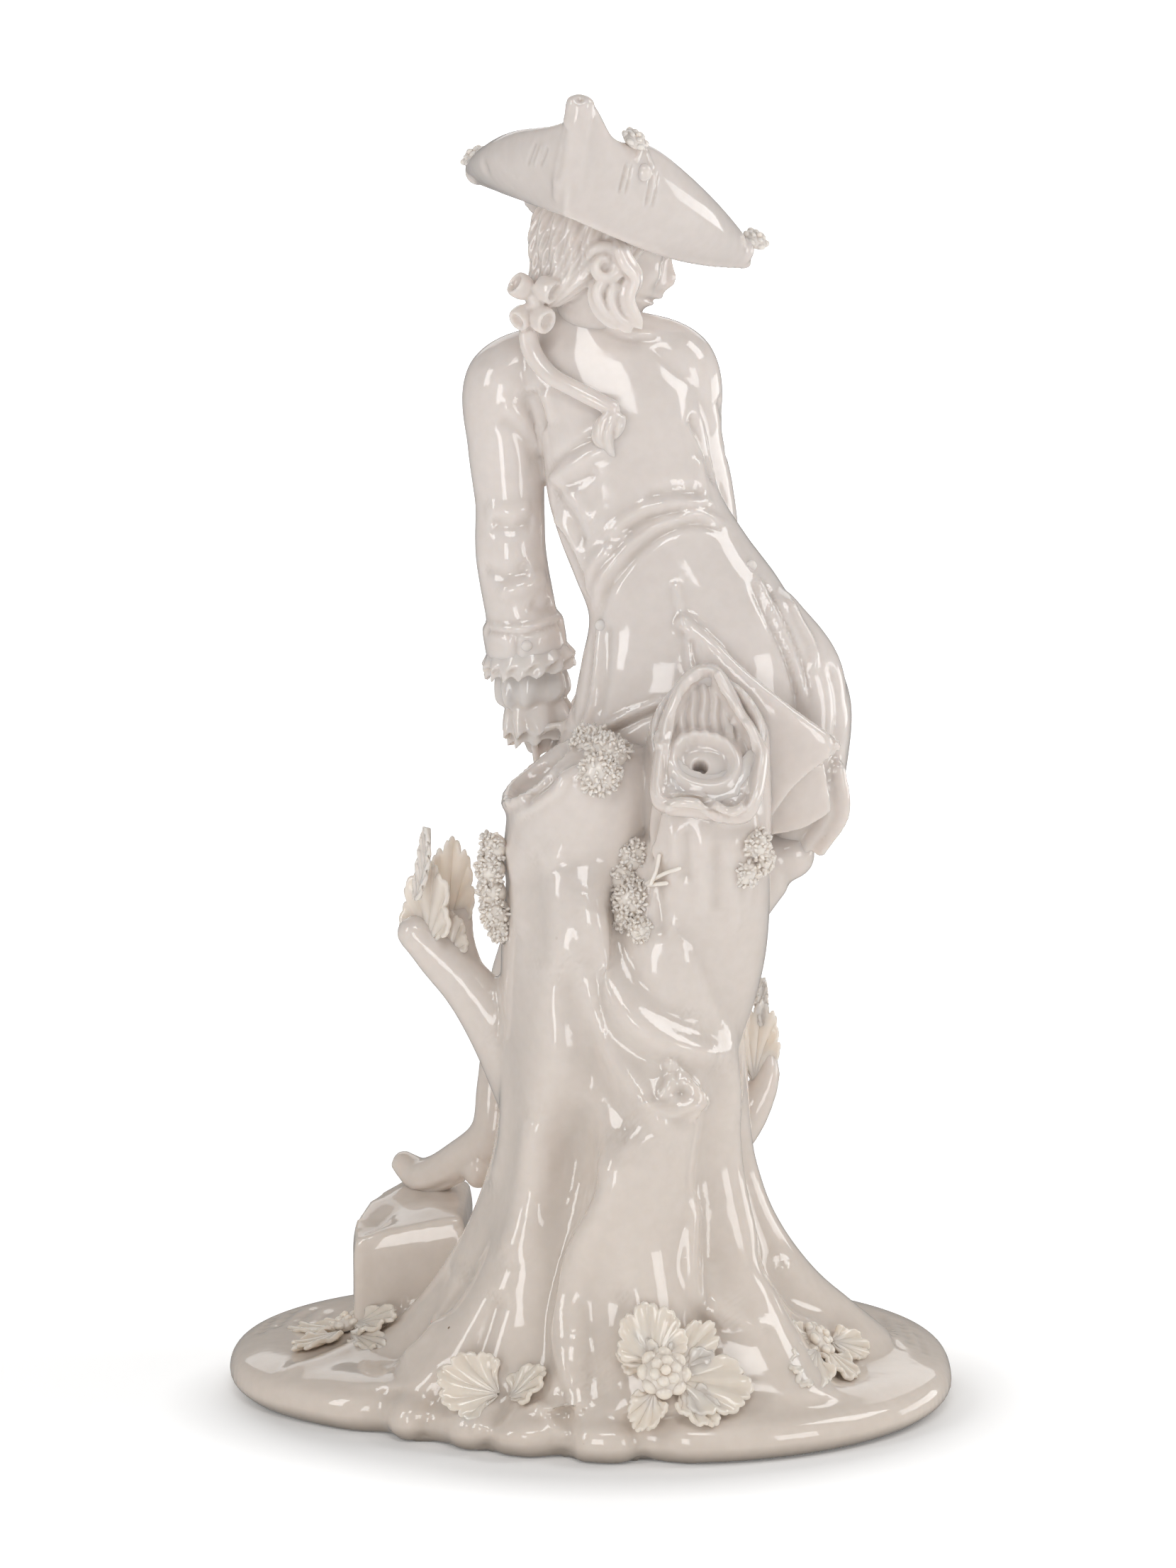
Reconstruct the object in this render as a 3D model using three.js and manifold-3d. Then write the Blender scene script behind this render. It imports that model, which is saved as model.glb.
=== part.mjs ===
// Porcelain figure of a gentleman in a three-cornered hat who leans on a tree trunk, his back to the viewer.
// Millimetres, +Z up. The origin is the centre of the flat underside, and the figure's back faces -Y.
// Figure, trunk, rock, leaves, flowers, moss and mound base are one fused solid.
import * as THREE from "three";
import { mergeVertices } from "three/addons/utils/BufferGeometryUtils.js";
import Module from "manifold-3d";

// Driving dimensions
const BASE_HALF_WIDTH = 74;
const BASE_HALF_DEPTH = 53;
const BASE_LIP_HEIGHT = 8.5;
const BASE_OVAL_POWER = 2.4;

const TRUNK_AXIS = [6, -8];
const TRUNK_TOP = 119;
const VENT_RADIUS = 1.2;
const STUMP_FLUTE_DEPTH = 0.45;

const HEAD_CENTRE = [3.4, 22.5, 233.4];
const HEAD_SCALE = 1.13;
const HEAD_YAW = 14;
const HEAD_PITCH = 20;

const HAT_BRIM_THICKNESS = 1.5;
const HAT_CROWN_CENTRE = [0, 21, 239];
const HAT_CROWN_NORMAL = [0.26, 0.49, 0.83];
const HAT_CROWN_HEIGHT = 13;
const HAT_CORNER_ROUND = 1;
const HAT_ROSETTE_RADIUS = 3;

const COAT_OVAL_POWER = 2.3;
const CLOTH_THICKNESS = 2;
const TAIL_THICKNESS = 5;
const WAIST_LEAN = 10.5;
const WAIST_FOLD = 1.5;
const LEAF_THICKNESS = 1.3;
const LEAF_RAISE = 0.5;
const MOSS_SQUASH = 0.7;
const GLAZE = { color: 0xd6cfc8, roughness: 0.12, metalness: 0 };

const wasm = await Module();
wasm.setup();

const { degToRad, radToDeg, clamp, euclideanModulo } = THREE.MathUtils;
const vector = (list) => new THREE.Vector3(list[0], list[1], list[2]);

// Joining and cutting

function solid(geometry) {
  const bare = geometry.clone();
  bare.deleteAttribute("normal");
  bare.deleteAttribute("uv");
  const merged = mergeVertices(bare, 1e-4);
  const mesh = new wasm.Mesh({
    numProp: 3,
    vertProperties: merged.attributes.position.array,
    triVerts: new Uint32Array(merged.index.array),
  });
  return new wasm.Manifold(mesh);
}

function geometryOf(manifold) {
  const mesh = manifold.getMesh();
  const geometry = new THREE.BufferGeometry();
  geometry.setAttribute("position", new THREE.BufferAttribute(mesh.vertProperties, 3));
  geometry.setIndex(new THREE.BufferAttribute(mesh.triVerts, 1));
  geometry.computeVertexNormals();
  return geometry;
}

const join = (solids) => solids.reduce((sum, next) => sum.add(next));

// Shared forms

// Moves every vertex of a geometry to where a function says.
function reshape(geometry, place) {
  const position = geometry.attributes.position;
  const point = new THREE.Vector3();
  for (let i = 0; i < position.count; i++) {
    point.fromBufferAttribute(position, i);
    place(point);
    position.setXYZ(i, point.x, point.y, point.z);
  }
  return geometry;
}

// Rows of a table are [height, value, value ...], lowest first. Gives the values at a height, smoothly.
function atHeight(table, z) {
  const last = table.length - 1;
  if (z <= table[0][0]) return table[0].slice(1);
  if (z >= table[last][0]) return table[last].slice(1);
  const i = table.findIndex((row) => row[0] > z) - 1;
  const t = (z - table[i][0]) / (table[i + 1][0] - table[i][0]);
  const before = table[Math.max(i - 1, 0)];
  const after = table[Math.min(i + 2, last)];
  return table[i].slice(1).map((_, k) => {
    const [a, b, c, d] = [before[k + 1], table[i][k + 1], table[i + 1][k + 1], after[k + 1]];
    const square = 2 * a - 5 * b + 4 * c - d;
    const cube = 3 * b - a - 3 * c + d;
    return (2 * b + (c - a) * t + square * t ** 2 + cube * t ** 3) / 2;
  });
}

// A bump over angles in degrees, 1 at its centre and fading over its width.
function bump(angle, centre, width) {
  const away = euclideanModulo(angle - centre + 180, 360) - 180;
  return Math.exp(-((away / width) ** 2));
}

// A closed form of rings: ring 0 is the lowest point, the last ring the highest point.
function rings(columns, rows, place) {
  const geometry = new THREE.SphereGeometry(1, columns, rows).rotateX(Math.PI / 2);
  return reshape(geometry, (p) => {
    const row = Math.round(rows * (1 - Math.acos(clamp(p.z, -1, 1)) / Math.PI));
    const pole = row === 0 || row === rows;
    p.copy(place(pole ? 0 : radToDeg(Math.atan2(p.y, p.x)), row, pole));
  });
}

// A bar with rounded ends along a smooth curve. Stations are [x, y, z, half width, half depth].
function sweep(stations, { sides = 10, rows = 8, across = [1, 0, 0], caps = 2, blunt = 1 } = {}) {
  const path = new THREE.CatmullRomCurve3(stations.map(vector), false, "centripetal");
  const sizes = stations.map((s) => new THREE.Vector3(s[3], s[4] ?? s[3], 0));
  const size = new THREE.CatmullRomCurve3(sizes, false, "catmullrom", 0.5);
  return reshape(new THREE.CapsuleGeometry(1, 2, caps, sides, rows), (p) => {
    const t = clamp((p.y + 1) / 2, 0, 1);
    const past = p.y - (2 * t - 1);
    const tangent = path.getTangent(t);
    const half = size.getPoint(t);
    const side = vector(across).addScaledVector(tangent, -tangent.dot(vector(across))).normalize();
    const other = new THREE.Vector3().crossVectors(side, tangent);
    const end = past * Math.min(half.x, half.y) * blunt;
    const [x, z] = [p.x * half.x, p.z * half.y];
    p.copy(path.getPoint(t)).addScaledVector(side, x).addScaledVector(other, z).addScaledVector(tangent, end);
  });
}

// An ellipsoid, turned about X, Y and Z in degrees.
function ball(at, radii, { turn = [0, 0, 0], sides = 10, rows = 7 } = {}) {
  const geometry = new THREE.SphereGeometry(1, sides, rows).scale(...radii);
  geometry.rotateX(degToRad(turn[0])).rotateY(degToRad(turn[1])).rotateZ(degToRad(turn[2]));
  return geometry.translate(...at);
}

// A limb along a smooth path through joints. Rows are [joint number, half width, half depth, wave of the
// edge], and a joint number may lie between two joints.
function limb(joints, rows, sides, across = [1, 0, 0]) {
  const path = new THREE.CatmullRomCurve3(joints.map(vector), false, "centripetal");
  return rings(sides, rows.length + 1, (angle, row, pole) => {
    const [joint, halfWidth, halfDepth, wave = 0] = rows[clamp(row - 1, 0, rows.length - 1)];
    const t = joint / (joints.length - 1);
    const point = path.getPoint(t);
    if (pole) return point;
    const tangent = path.getTangent(t);
    const side = vector(across).addScaledVector(tangent, -tangent.dot(vector(across))).normalize();
    const other = new THREE.Vector3().crossVectors(tangent, side);
    point.addScaledVector(side, halfWidth * Math.cos(degToRad(angle)));
    point.addScaledVector(other, halfDepth * Math.sin(degToRad(angle)));
    return point.addScaledVector(tangent, wave * Math.cos((degToRad(angle) * sides) / 2));
  });
}

// Moves a geometry to a place, its +Z along a normal and its +X towards a heading.
function set(geometry, at, normal, heading = [1, 0, 0.01]) {
  const z = vector(normal).normalize();
  const x = vector(heading).addScaledVector(z, -z.dot(vector(heading))).normalize();
  const y = new THREE.Vector3().crossVectors(z, x);
  return geometry.applyMatrix4(new THREE.Matrix4().makeBasis(x, y, z).setPosition(...at));
}

// A thick sheet stretched between four corners, with a bulge at its middle.
// Corners run round the sheet: start low, start high, end high, end low.
function sheet(corners, thickness, bulge = 0, steps = 3) {
  const [a, b, c, d] = corners.map(vector);
  const normal = new THREE.Vector3().crossVectors(c.clone().sub(a), b.clone().sub(d)).normalize();
  return reshape(new THREE.BoxGeometry(1, 1, 1, steps, steps, 1), (p) => {
    const [u, v, w] = [p.x + 0.5, p.y + 0.5, p.z];
    const low = a.clone().lerp(d, u);
    const high = b.clone().lerp(c, u);
    const rise = bulge * Math.sin(Math.PI * u) * Math.sin(Math.PI * v);
    p.copy(low.lerp(high, v)).addScaledVector(normal, w * thickness + rise);
  });
}

// Mound base

// Plan reach of the base: an oval, drawn in at the front left, with notches between the roots.
function baseReach(angle) {
  const across = Math.abs(Math.cos(degToRad(angle))) / BASE_HALF_WIDTH;
  const along = Math.abs(Math.sin(degToRad(angle))) / BASE_HALF_DEPTH;
  const oval = (across ** BASE_OVAL_POWER + along ** BASE_OVAL_POWER) ** (-1 / BASE_OVAL_POWER);
  const drawn = 1 - 0.17 * bump(angle, 216, 23) - 0.08 * bump(angle, 245, 16) + 0.03 * bump(angle, 300, 22);
  const notches = 2.6 * bump(angle, 218, 4) + 2.2 * bump(angle, 243, 4) + 2.4 * bump(angle, 273, 5);
  return oval * drawn - notches;
}

// Trunk

// Height, then the trunk's reach from its axis to the left, right, front and back.
const TRUNK_REACH = [
  [4, 54, 60, 42, 46],
  [10, 48, 54, 38, 40],
  [17, 40, 47, 33, 34],
  [26, 34, 38, 29, 28],
  [38, 28.5, 31, 26.5, 24],
  [52, 25, 27, 25, 20],
  [70, 23.5, 26, 24, 18],
  [95, 23.5, 24.5, 21.5, 17],
  [112, 22, 24, 18, 16],
  [TRUNK_TOP, 19.5, 23, 13.5, 14],
];

// Ridges and grooves of the trunk: each has a width in degrees and a track of [height, angle, rise].
const TRUNK_LOBES = [
  {
    width: 17,
    track: [[4, 203, 4], [14, 210, 5], [28, 221, 4], [45, 230, 2.5], [90, 236, 1.5], [119, 240, 1]],
  },
  {
    width: 13,
    track: [
      [4, 262, -1], [25, 252, -3], [42, 244, -4], [57, 246, -6.5], [74, 254, -2.5], [92, 262, -3],
      [119, 277, -9],
    ],
  },
  { width: 6, track: [[4, 259, 5], [14, 254, 4], [28, 253, 2], [45, 258, 0.8], [60, 262, 0]] },
  {
    width: 22,
    track: [[4, 284, 7], [20, 281, 5.5], [45, 279, 4.5], [66, 290, 5], [78, 300, 2], [119, 308, 3]],
  },
  { width: 8, track: [[4, 297, -2], [14, 298, -4], [35, 308, -2.5], [60, 312, -2], [80, 318, 0]] },
  { width: 11, track: [[4, 322, 8], [18, 322, 5], [38, 328, 3], [70, 333, 1], [119, 335, 0]] },
  { width: 9, track: [[4, 343, -6], [20, 343, -4], [40, 345, -2], [80, 345, 0]] },
  { width: 12, track: [[4, 12, 6], [18, 10, 4], [40, 8, 1.5], [80, 5, 0]] },
  { width: 9, track: [[4, 38, -5], [20, 36, -3], [60, 30, -1], [100, 30, 0]] },
  { width: 15, track: [[4, 66, 3], [20, 64, 3], [60, 62, 1.5], [119, 60, 1]] },
  { width: 12, track: [[4, 95, -5], [25, 95, -3], [80, 95, -1.5]] },
  { width: 15, track: [[4, 124, 3], [25, 122, 3], [80, 118, 1.5]] },
  { width: 12, track: [[4, 172, 6], [18, 176, 4], [34, 180, 2], [60, 184, 0]] },
  { width: 6, track: [[4, 190, -3], [24, 196, -2.5], [40, 205, 0]] },
];

function trunkReach(angle, z) {
  const [left, right, front, back] = atHeight(TRUNK_REACH, z);
  const [c, s] = [Math.cos(degToRad(angle)), Math.sin(degToRad(angle))];
  const oval = 1 / Math.hypot(c / (c > 0 ? right : left), s / (s > 0 ? back : front));
  return TRUNK_LOBES.reduce((reach, { width, track }) => {
    const [centre, rise] = atHeight(track, z);
    return reach + rise * bump(angle, centre, width);
  }, oval);
}

// Mound base and trunk in one form: rows of the base's edge, then rows of the trunk, both from the bottom up.
function ground() {
  const edge = [[0.96, 0], [1.005, 0.35], [0.99, 0.8], [0.93, 1.05]];
  const levels = [11, 16, 24, 35, 47, 58, 70, 86, 104, TRUNK_TOP];
  const rows = edge.length + levels.length + 1;
  return rings(38, rows, (angle, row, pole) => {
    const direction = vector([Math.cos(degToRad(angle)), Math.sin(degToRad(angle)), 0]);
    if (row === 0) return new THREE.Vector3();
    if (row <= edge.length) {
      const [share, rise] = edge[row - 1];
      return direction.multiplyScalar(share * baseReach(angle)).setZ(rise * BASE_LIP_HEIGHT);
    }
    const z = levels[Math.min(row - edge.length, levels.length) - 1];
    direction.multiplyScalar(pole ? 0 : trunkReach(angle, z));
    return direction.add(vector([...TRUNK_AXIS, z]));
  });
}

// A stump cut off at a slant. Sections are level ovals [x, y, z, half width, half depth] below the cut.
// Rows on the cut are [half across, half along, rise above the cut, slide up the cut], the bottom last.
function stump({ columns, sections, face, tilt, cut, flutes = 0 }) {
  const normal = vector(tilt).normalize();
  const slope = new THREE.Vector3(0, 0, 1).addScaledVector(normal, -normal.z).normalize();
  const ahead = new THREE.Vector3(slope.x, slope.y, 0).normalize();
  const level = new THREE.Vector3(-ahead.y, ahead.x, 0);
  const rows = sections.length + cut.length + 1;
  return rings(columns, rows, (angle, row, pole) => {
    const [c, s] = [Math.cos(degToRad(angle)), Math.sin(degToRad(angle))];
    if (row <= sections.length) {
      const [x, y, z, halfWidth, halfDepth] = sections[Math.max(row - 1, 0)];
      const point = pole ? vector([x, y, z]) : vector([x + halfWidth * c, y + halfDepth * s, z]);
      const above = normal.dot(point.clone().sub(vector(face))) + 1.2;
      point.z -= Math.max(above, 0) / normal.z;
      return point;
    }
    const [across, along, rise, slide] = cut[Math.min(row - sections.length, cut.length) - 1];
    const direction = pole ? new THREE.Vector3() : new THREE.Vector3(c, s, 0);
    const flute = rise < 0 && !pole ? STUMP_FLUTE_DEPTH * Math.cos(degToRad(angle * flutes)) : 0;
    const point = vector(face).addScaledVector(level, across * direction.dot(level));
    point.addScaledVector(slope, along * direction.dot(ahead) + slide);
    return point.addScaledVector(normal, rise + flute);
  });
}

// The left stump has a hollow top, and the coat sits on its right part.
function leftStump() {
  return stump({
    columns: 14,
    sections: [[1, -7, 94, 13, 11], [-2, -8, 112, 15, 15], [-2.5, -9, 136, 14, 14.5]],
    face: [-9.6, -8, 130.6],
    tilt: [-0.64, 0, 0.77],
    cut: [[12, 10.2, 0.3, 0], [11.2, 9.4, 1.3, 0], [9.8, 8, 0, 0], [7, 5.5, -3.2, 0]],
  });
}

// The right stump ends in a slanted oval cut, fluted inside, with a ringed knot and the vent hole in it.
function rightStump() {
  const knotSlide = -4.7;
  return stump({
    columns: 16,
    sections: [
      [21, -9, 72, 9, 8],
      [23.5, -13, 94, 12, 13],
      [24, -15, 116, 12.5, 14],
      [24, -13.5, 140, 12.2, 13.5],
    ],
    face: [23.6, -24.5, 141],
    tilt: [0, -0.83, 0.55],
    flutes: 8,
    cut: [
      [10.9, 14.5, 0.3, 0],
      [9.9, 13.4, 1.3, 0],
      [8.6, 12, 0.2, 0],
      [6.9, 9.4, -1.9, -1],
      [5.9, 6, 0.4, knotSlide],
      [4.6, 4.6, 1.8, knotSlide],
      [3, 3, 0.6, knotSlide],
      [VENT_RADIUS, VENT_RADIUS, 0.5, knotSlide],
      [VENT_RADIUS, VENT_RADIUS, -5, knotSlide],
    ],
  });
}

// The thick bark under the right stump's cut
function bark() {
  const column = [[24.4, -24.6, 128.4, 8.6, 3.4], [23.2, -24.6, 116, 10.4, 4.4], [20, -20.6, 92, 9, 5]];
  return sweep(column, { sides: 8, rows: 3, caps: 1 });
}

function branches() {
  const left = [
    [-11, -8, 63, 7], [-17.5, -6, 77, 6.6], [-24, -5, 86, 5.4], [-30, -4, 92, 4.6], [-35, -4, 97, 3.6],
  ];
  const leftTwig = [[-24, -4, 85, 4.5], [-26.5, -1, 93, 4], [-26, 2, 99, 2.8]];
  const right = [[20, -6, 90, 8], [28.5, -3, 103, 8], [36.5, 0, 111, 7], [40.5, 0, 112.5, 5.4]];
  const rightTwig = [[29, 0, 53, 4.5], [33, 3, 58, 4], [36.4, 4.6, 65, 2.8], [37, 5, 70, 1.6]];
  return [
    sweep(left, { across: [0, 1, 0], sides: 8, rows: 6, caps: 1 }),
    sweep(leftTwig, { across: [0, 1, 0], sides: 7, rows: 3, caps: 1 }),
    sweep(right, { across: [0, 1, 0], sides: 8, rows: 4, caps: 1 }),
    sweep(rightTwig, { across: [0, 1, 0], sides: 7, rows: 4, caps: 1 }),
  ];
}

// Rocks are drawn by the corners of their top, counter-clockwise, as [x, y, height].
const BOULDER_CORNERS = [
  [-48, 4.5, 30.4], [-42.4, 3.8, 32.4], [-25, 3, 35.4], [-24, 34, 35.6], [-38, 35, 35.6], [-45.6, 21, 34.4],
  [-48.4, 12, 32.4],
];
const LEDGE_CORNERS = [
  [-22, 13, 22], [2, 12, 24], [27, 13, 24.4], [31.5, 24, 23], [30, 37, 24], [17, 43.5, 24.3], [6, 40.5, 22],
  [-9, 42.5, 20], [-24, 39, 17], [-29, 28, 18.5],
];
const ROCK_FOOT_SPREAD = 1.06;

// A rock stands on the base and leans in a little to its flat top.
function rock(corners) {
  const top = corners.map(vector);
  const middle = top.reduce((sum, corner) => sum.add(corner), new THREE.Vector3()).divideScalar(top.length);
  return rings(top.length, 5, (angle, row, pole) => {
    if (pole) return vector([middle.x, middle.y, row === 0 ? 0 : middle.z + 0.4]);
    const corner = top[Math.round((euclideanModulo(angle, 360) / 360) * top.length) % top.length];
    const spread = [ROCK_FOOT_SPREAD, ROCK_FOOT_SPREAD, 1, 0.6][row - 1];
    const height = [0, 0.45 * corner.z, corner.z, 0.4 * corner.z + 0.6 * middle.z][row - 1];
    return middle.clone().lerp(corner, spread).setZ(height);
  });
}

// The boulder under the left foot and the ledge behind the trunk, under the right foot
const rocks = () => [rock(BOULDER_CORNERS), rock(LEDGE_CORNERS)];

// Legs, in breeches, stockings and shoes: hip, thigh, knee, calf, shin, ankle, instep, ball of the foot, toe
function legs() {
  const left = [
    [6, 6, 138], [-1, 20, 117], [-8, 30, 97], [-13, 28, 80], [-18, 22, 60], [-20, 19, 49], [-26, 21.5, 43],
    [-34, 26.5, 38], [-40, 30, 41.2],
  ];
  const right = [
    [29, 6, 138], [26, 20, 117], [22, 31, 96], [20, 30, 78], [17, 25, 55], [16, 21, 42], [16.5, 26, 34.6],
    [18, 34, 28], [19.4, 40.4, 30],
  ];
  const rows = [
    [0, 10, 10], [1, 10, 10], [2, 7.6, 7.6], [2.2, 7.7, 7.7], [2.3, 6.6, 6.6], [3, 6.9, 7.2], [4, 4.6, 4.8],
    [5, 4, 4.6], [6, 4.2, 4.2], [7, 4.6, 3.9], [7.9, 2.6, 2.2],
  ];
  return [
    limb(left, rows, 8, [0.53, 0.85, 0]),
    limb(right, rows, 8, [1, 0, 0]),
    ball([-22.6, 18, 41.6], [3.2, 3.2, 4], { sides: 7, rows: 4 }),
    ball([16, 19, 29.5], [3, 3, 5.4], { sides: 7, rows: 4 }),
  ];
}

// Coat: height, then the section's centre x and y, half width and half depth.
const COAT = [
  [118, 14, 4, 8, 6],
  [126, 16, 4, 17, 12],
  [134, 19, 4, 21.5, 14],
  [142, 20.8, 4, 23.6, 14.6],
  [151, 21.6, 4.5, 22.9, 14.5],
  [160, 21.4, 6, 21.2, 14],
  [168, 17.6, 8, 20.3, 13],
  [175, 13.4, 10, 19, 12.2],
  [183, 9.6, 12, 17.6, 12],
  [191, 7.8, 14, 16.8, 12.3],
  [199, 6.4, 16, 17, 12.4],
  [206, 4, 18, 18.2, 11.6],
  [211, 1.6, 19.4, 17, 10.4],
  [216, 0.4, 20.4, 12.4, 8.6],
  [220, -0.4, 21, 8.4, 7.4],
  [225, -0.4, 21.5, 7.4, 7],
];

// Rows of the coat. They lean to follow the waist seam, which is higher at the right.
const COAT_ROWS = [
  118, 126, 134, 143, 152, 161, 167.4, 169.2, 171, 177, 184, 192, 200, 206, 211, 216, 220, 225,
];

function coatReach(angle, z, halfWidth, halfDepth) {
  const [c, s] = [Math.cos(degToRad(angle)), Math.sin(degToRad(angle))];
  const power = COAT_OVAL_POWER;
  const oval = (Math.abs(c / halfWidth) ** power + Math.abs(s / halfDepth) ** power) ** (-1 / power);
  const pleats = 0.8 * Math.cos(degToRad(angle * 10)) * clamp((158 - z) / 12, 0, 1);
  const vent = 1.6 * bump(angle, 270, 7) * clamp((160 - z) / 8, 0, 1);
  return oval + pleats - vent;
}

function coatBody() {
  return rings(20, COAT_ROWS.length + 1, (angle, row, pole) => {
    const level = COAT_ROWS[clamp(row - 1, 0, COAT_ROWS.length - 1)];
    const [c, s] = [Math.cos(degToRad(angle)), Math.sin(degToRad(angle))];
    const z = pole ? level : level + WAIST_LEAN * c * Math.exp(-(((level - 169) / 16) ** 2));
    const [x, y, halfWidth, halfDepth] = atHeight(COAT, z);
    const seam = level > 169 && level < 170 ? WAIST_FOLD * clamp(-2 * s, 0, 1) : 0;
    const reach = pole ? 0 : coatReach(angle, z, halfWidth, halfDepth) + seam;
    return vector([x + reach * c, y + reach * s, z]);
  });
}

function coat() {
  const rightDrape = [
    [35, 4, 158, 9, 9], [43, 4, 148, 8.5, 9], [45.5, 4, 136, 6.5, 10], [43.5, 3, 124, 6, 9],
    [41, 2, 117, 5.5, 6],
  ];
  const wing = [[46, 8, 152, 3.5, 8], [50.5, 8, 142, 2.6, 9], [50, 7, 130, 2.4, 9], [47.5, 6, 118, 2.4, 7]];
  return [
    coatBody(),
    sweep(rightDrape, { rows: 5, sides: 8, caps: 1 }),
    sweep(wing, { rows: 5, sides: 7, caps: 1 }),
    sheet([[18, -12, 164], [17.2, -12, 168], [49.5, -10, 137], [34, -12, 120.5]], TAIL_THICKNESS, 1.5),
    sheet([[33, -13, 121], [33, -13, 128], [49, -12, 137], [42, -12, 129]], CLOTH_THICKNESS, 0, 1),
  ];
}

// Arms with turned-back cuffs and wavy lace frills, and the jabot at the throat. The left arm hangs straight
// and has two frills, the right one bends forward to rest on the thigh.
function arms() {
  const left = [
    [-6, 20.5, 211.6], [-16.4, 20, 205.4], [-16.6, 19.5, 193], [-15.8, 18, 181], [-15.6, 17, 171],
    [-13.6, 16, 159], [-12.2, 16, 150], [-10.8, 15.8, 141], [-8.6, 15.5, 130.5],
  ];
  const leftRows = [
    [0, 6.4, 6.4], [1, 8.4, 8.4], [2, 7.8, 7.8], [3, 7, 7], [4, 7.2, 7.2], [5.15, 7.2, 7.2], [5.2, 8.7, 8.7],
    [5.75, 8.4, 8.4], [6.1, 9.4, 9.2, 1], [6.2, 5.4, 4.4], [7, 5.2, 4.2], [7.2, 6.6, 6, 0.8], [7.5, 4.4, 4.2],
    [8, 3.6, 3.2],
  ];
  const right = [
    [6, 20.5, 213.6], [17.6, 20, 208.4], [19.6, 21, 194], [22.4, 24, 182], [23.4, 27, 172],
    [20, 34, 162], [14, 38, 152.5], [8.5, 40, 144], [3, 38, 136],
  ];
  const rightRows = [
    [0, 7, 7], [1, 8.4, 8.4], [2, 7.6, 7.6], [3, 7.2, 7.2], [4, 7, 7], [5.15, 6.6, 6.6], [5.2, 7.8, 7.8],
    [5.85, 7.8, 7.8], [6.15, 8.6, 8.4, 1], [6.2, 5, 3.8], [7, 5.6, 3.4], [8, 3.6, 2],
  ];
  const loop = [
    [-10.5, 12, 129, 0.9], [-10.6, 10, 134, 0.9], [-8, 9, 136.6, 0.9], [-5.2, 9, 136.8, 0.9],
    [-4.6, 9, 129, 0.9],
  ];
  const jabot = [[2, 28.5, 216, 3, 1.8], [3.4, 30.6, 209, 4, 2], [4.8, 29.8, 202, 2.6, 1.4]];
  return [
    limb(left, leftRows, 10),
    limb(right, rightRows, 10),
    sweep(loop, { sides: 4, rows: 6, caps: 1 }),
    sweep(jabot, { sides: 6, rows: 3, caps: 1 }),
  ];
}

// Head, in a frame with +X along the face, then pitched and turned

function setHead(geometry) {
  const size = new Array(3).fill(HEAD_SCALE);
  geometry.scale(...size).rotateY(degToRad(HEAD_PITCH)).rotateZ(degToRad(HEAD_YAW));
  return geometry.translate(...HEAD_CENTRE);
}

// Profile of the face: height, reach to the front, half width, and reach to the back.
const FACE_PROFILE = [
  [-14.2, 7.4, 1.6, 2],
  [-13.4, 10, 3.4, 6],
  [-11.4, 11.4, 4.6, 8],
  [-9.4, 10.5, 6, 9],
  [-7.6, 11.5, 7, 9.5],
  [-6.9, 10.9, 7.3, 9.8],
  [-6.1, 11.7, 7.6, 10],
  [-4.6, 11.4, 8.2, 10.5],
  [-2.6, 11.6, 9, 11],
  [0.4, 11.3, 9.8, 12],
  [2.6, 11.6, 10.2, 12.5],
  [5, 12, 10.5, 13],
  [10, 10.4, 9.8, 13],
  [13.6, 6, 6, 8],
];

function face() {
  const rows = FACE_PROFILE.length + 1;
  const form = rings(14, rows, (angle, row, pole) => {
    const turn = degToRad(angle) - 0.5 * Math.sin(degToRad(angle));
    const [z, front, halfWidth, back] = FACE_PROFILE[clamp(row - 1, 0, FACE_PROFILE.length - 1)];
    if (pole) return vector([0, 0, z]);
    const [c, s] = [Math.cos(turn), Math.sin(turn)];
    const reach = 1 / Math.hypot(c / (c > 0 ? front : back), s / halfWidth);
    const degrees = radToDeg(turn);
    const nose = 3.2 * bump(degrees, 0, 9) * clamp(1.15 - Math.abs(z + 2.4) / 5, 0, 1);
    const sockets = 0.9 * (bump(degrees, 22, 9) + bump(degrees, -22, 9)) * bump(z * 10, 12, 24);
    const cheeks = 0.8 * (bump(degrees, 38, 16) + bump(degrees, -38, 16)) * bump(z * 10, -30, 30);
    const full = reach + nose - sockets + cheeks;
    return vector([full * c, full * s, z]);
  });
  return [setHead(form)];
}

// Hair combed down to the bow: level sections [x, y, z, reach] from the knot up to the hat.
const HAIR_SECTIONS = [
  [-8.4, 12.8, 222, 3],
  [-5, 14.6, 225.6, 7],
  [-1.2, 17.4, 229.6, 10.4],
  [0.9, 20, 234.8, 12.8],
  [2, 21.5, 240.6, 12.2],
  [2.2, 22, 245, 8],
];

// The combed grooves run from the hat's brim to the knot.
function hairMass() {
  const last = HAIR_SECTIONS.length - 1;
  return rings(20, last + 2, (angle, row, pole) => {
    const [x, y, z, reach] = HAIR_SECTIONS[clamp(row - 1, 0, last)];
    const out = pole ? 0 : reach * (1 + 0.05 * Math.cos(degToRad(angle * 10)));
    return vector([x + out * Math.cos(degToRad(angle)), y + out * Math.sin(degToRad(angle)), z]);
  });
}

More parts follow.
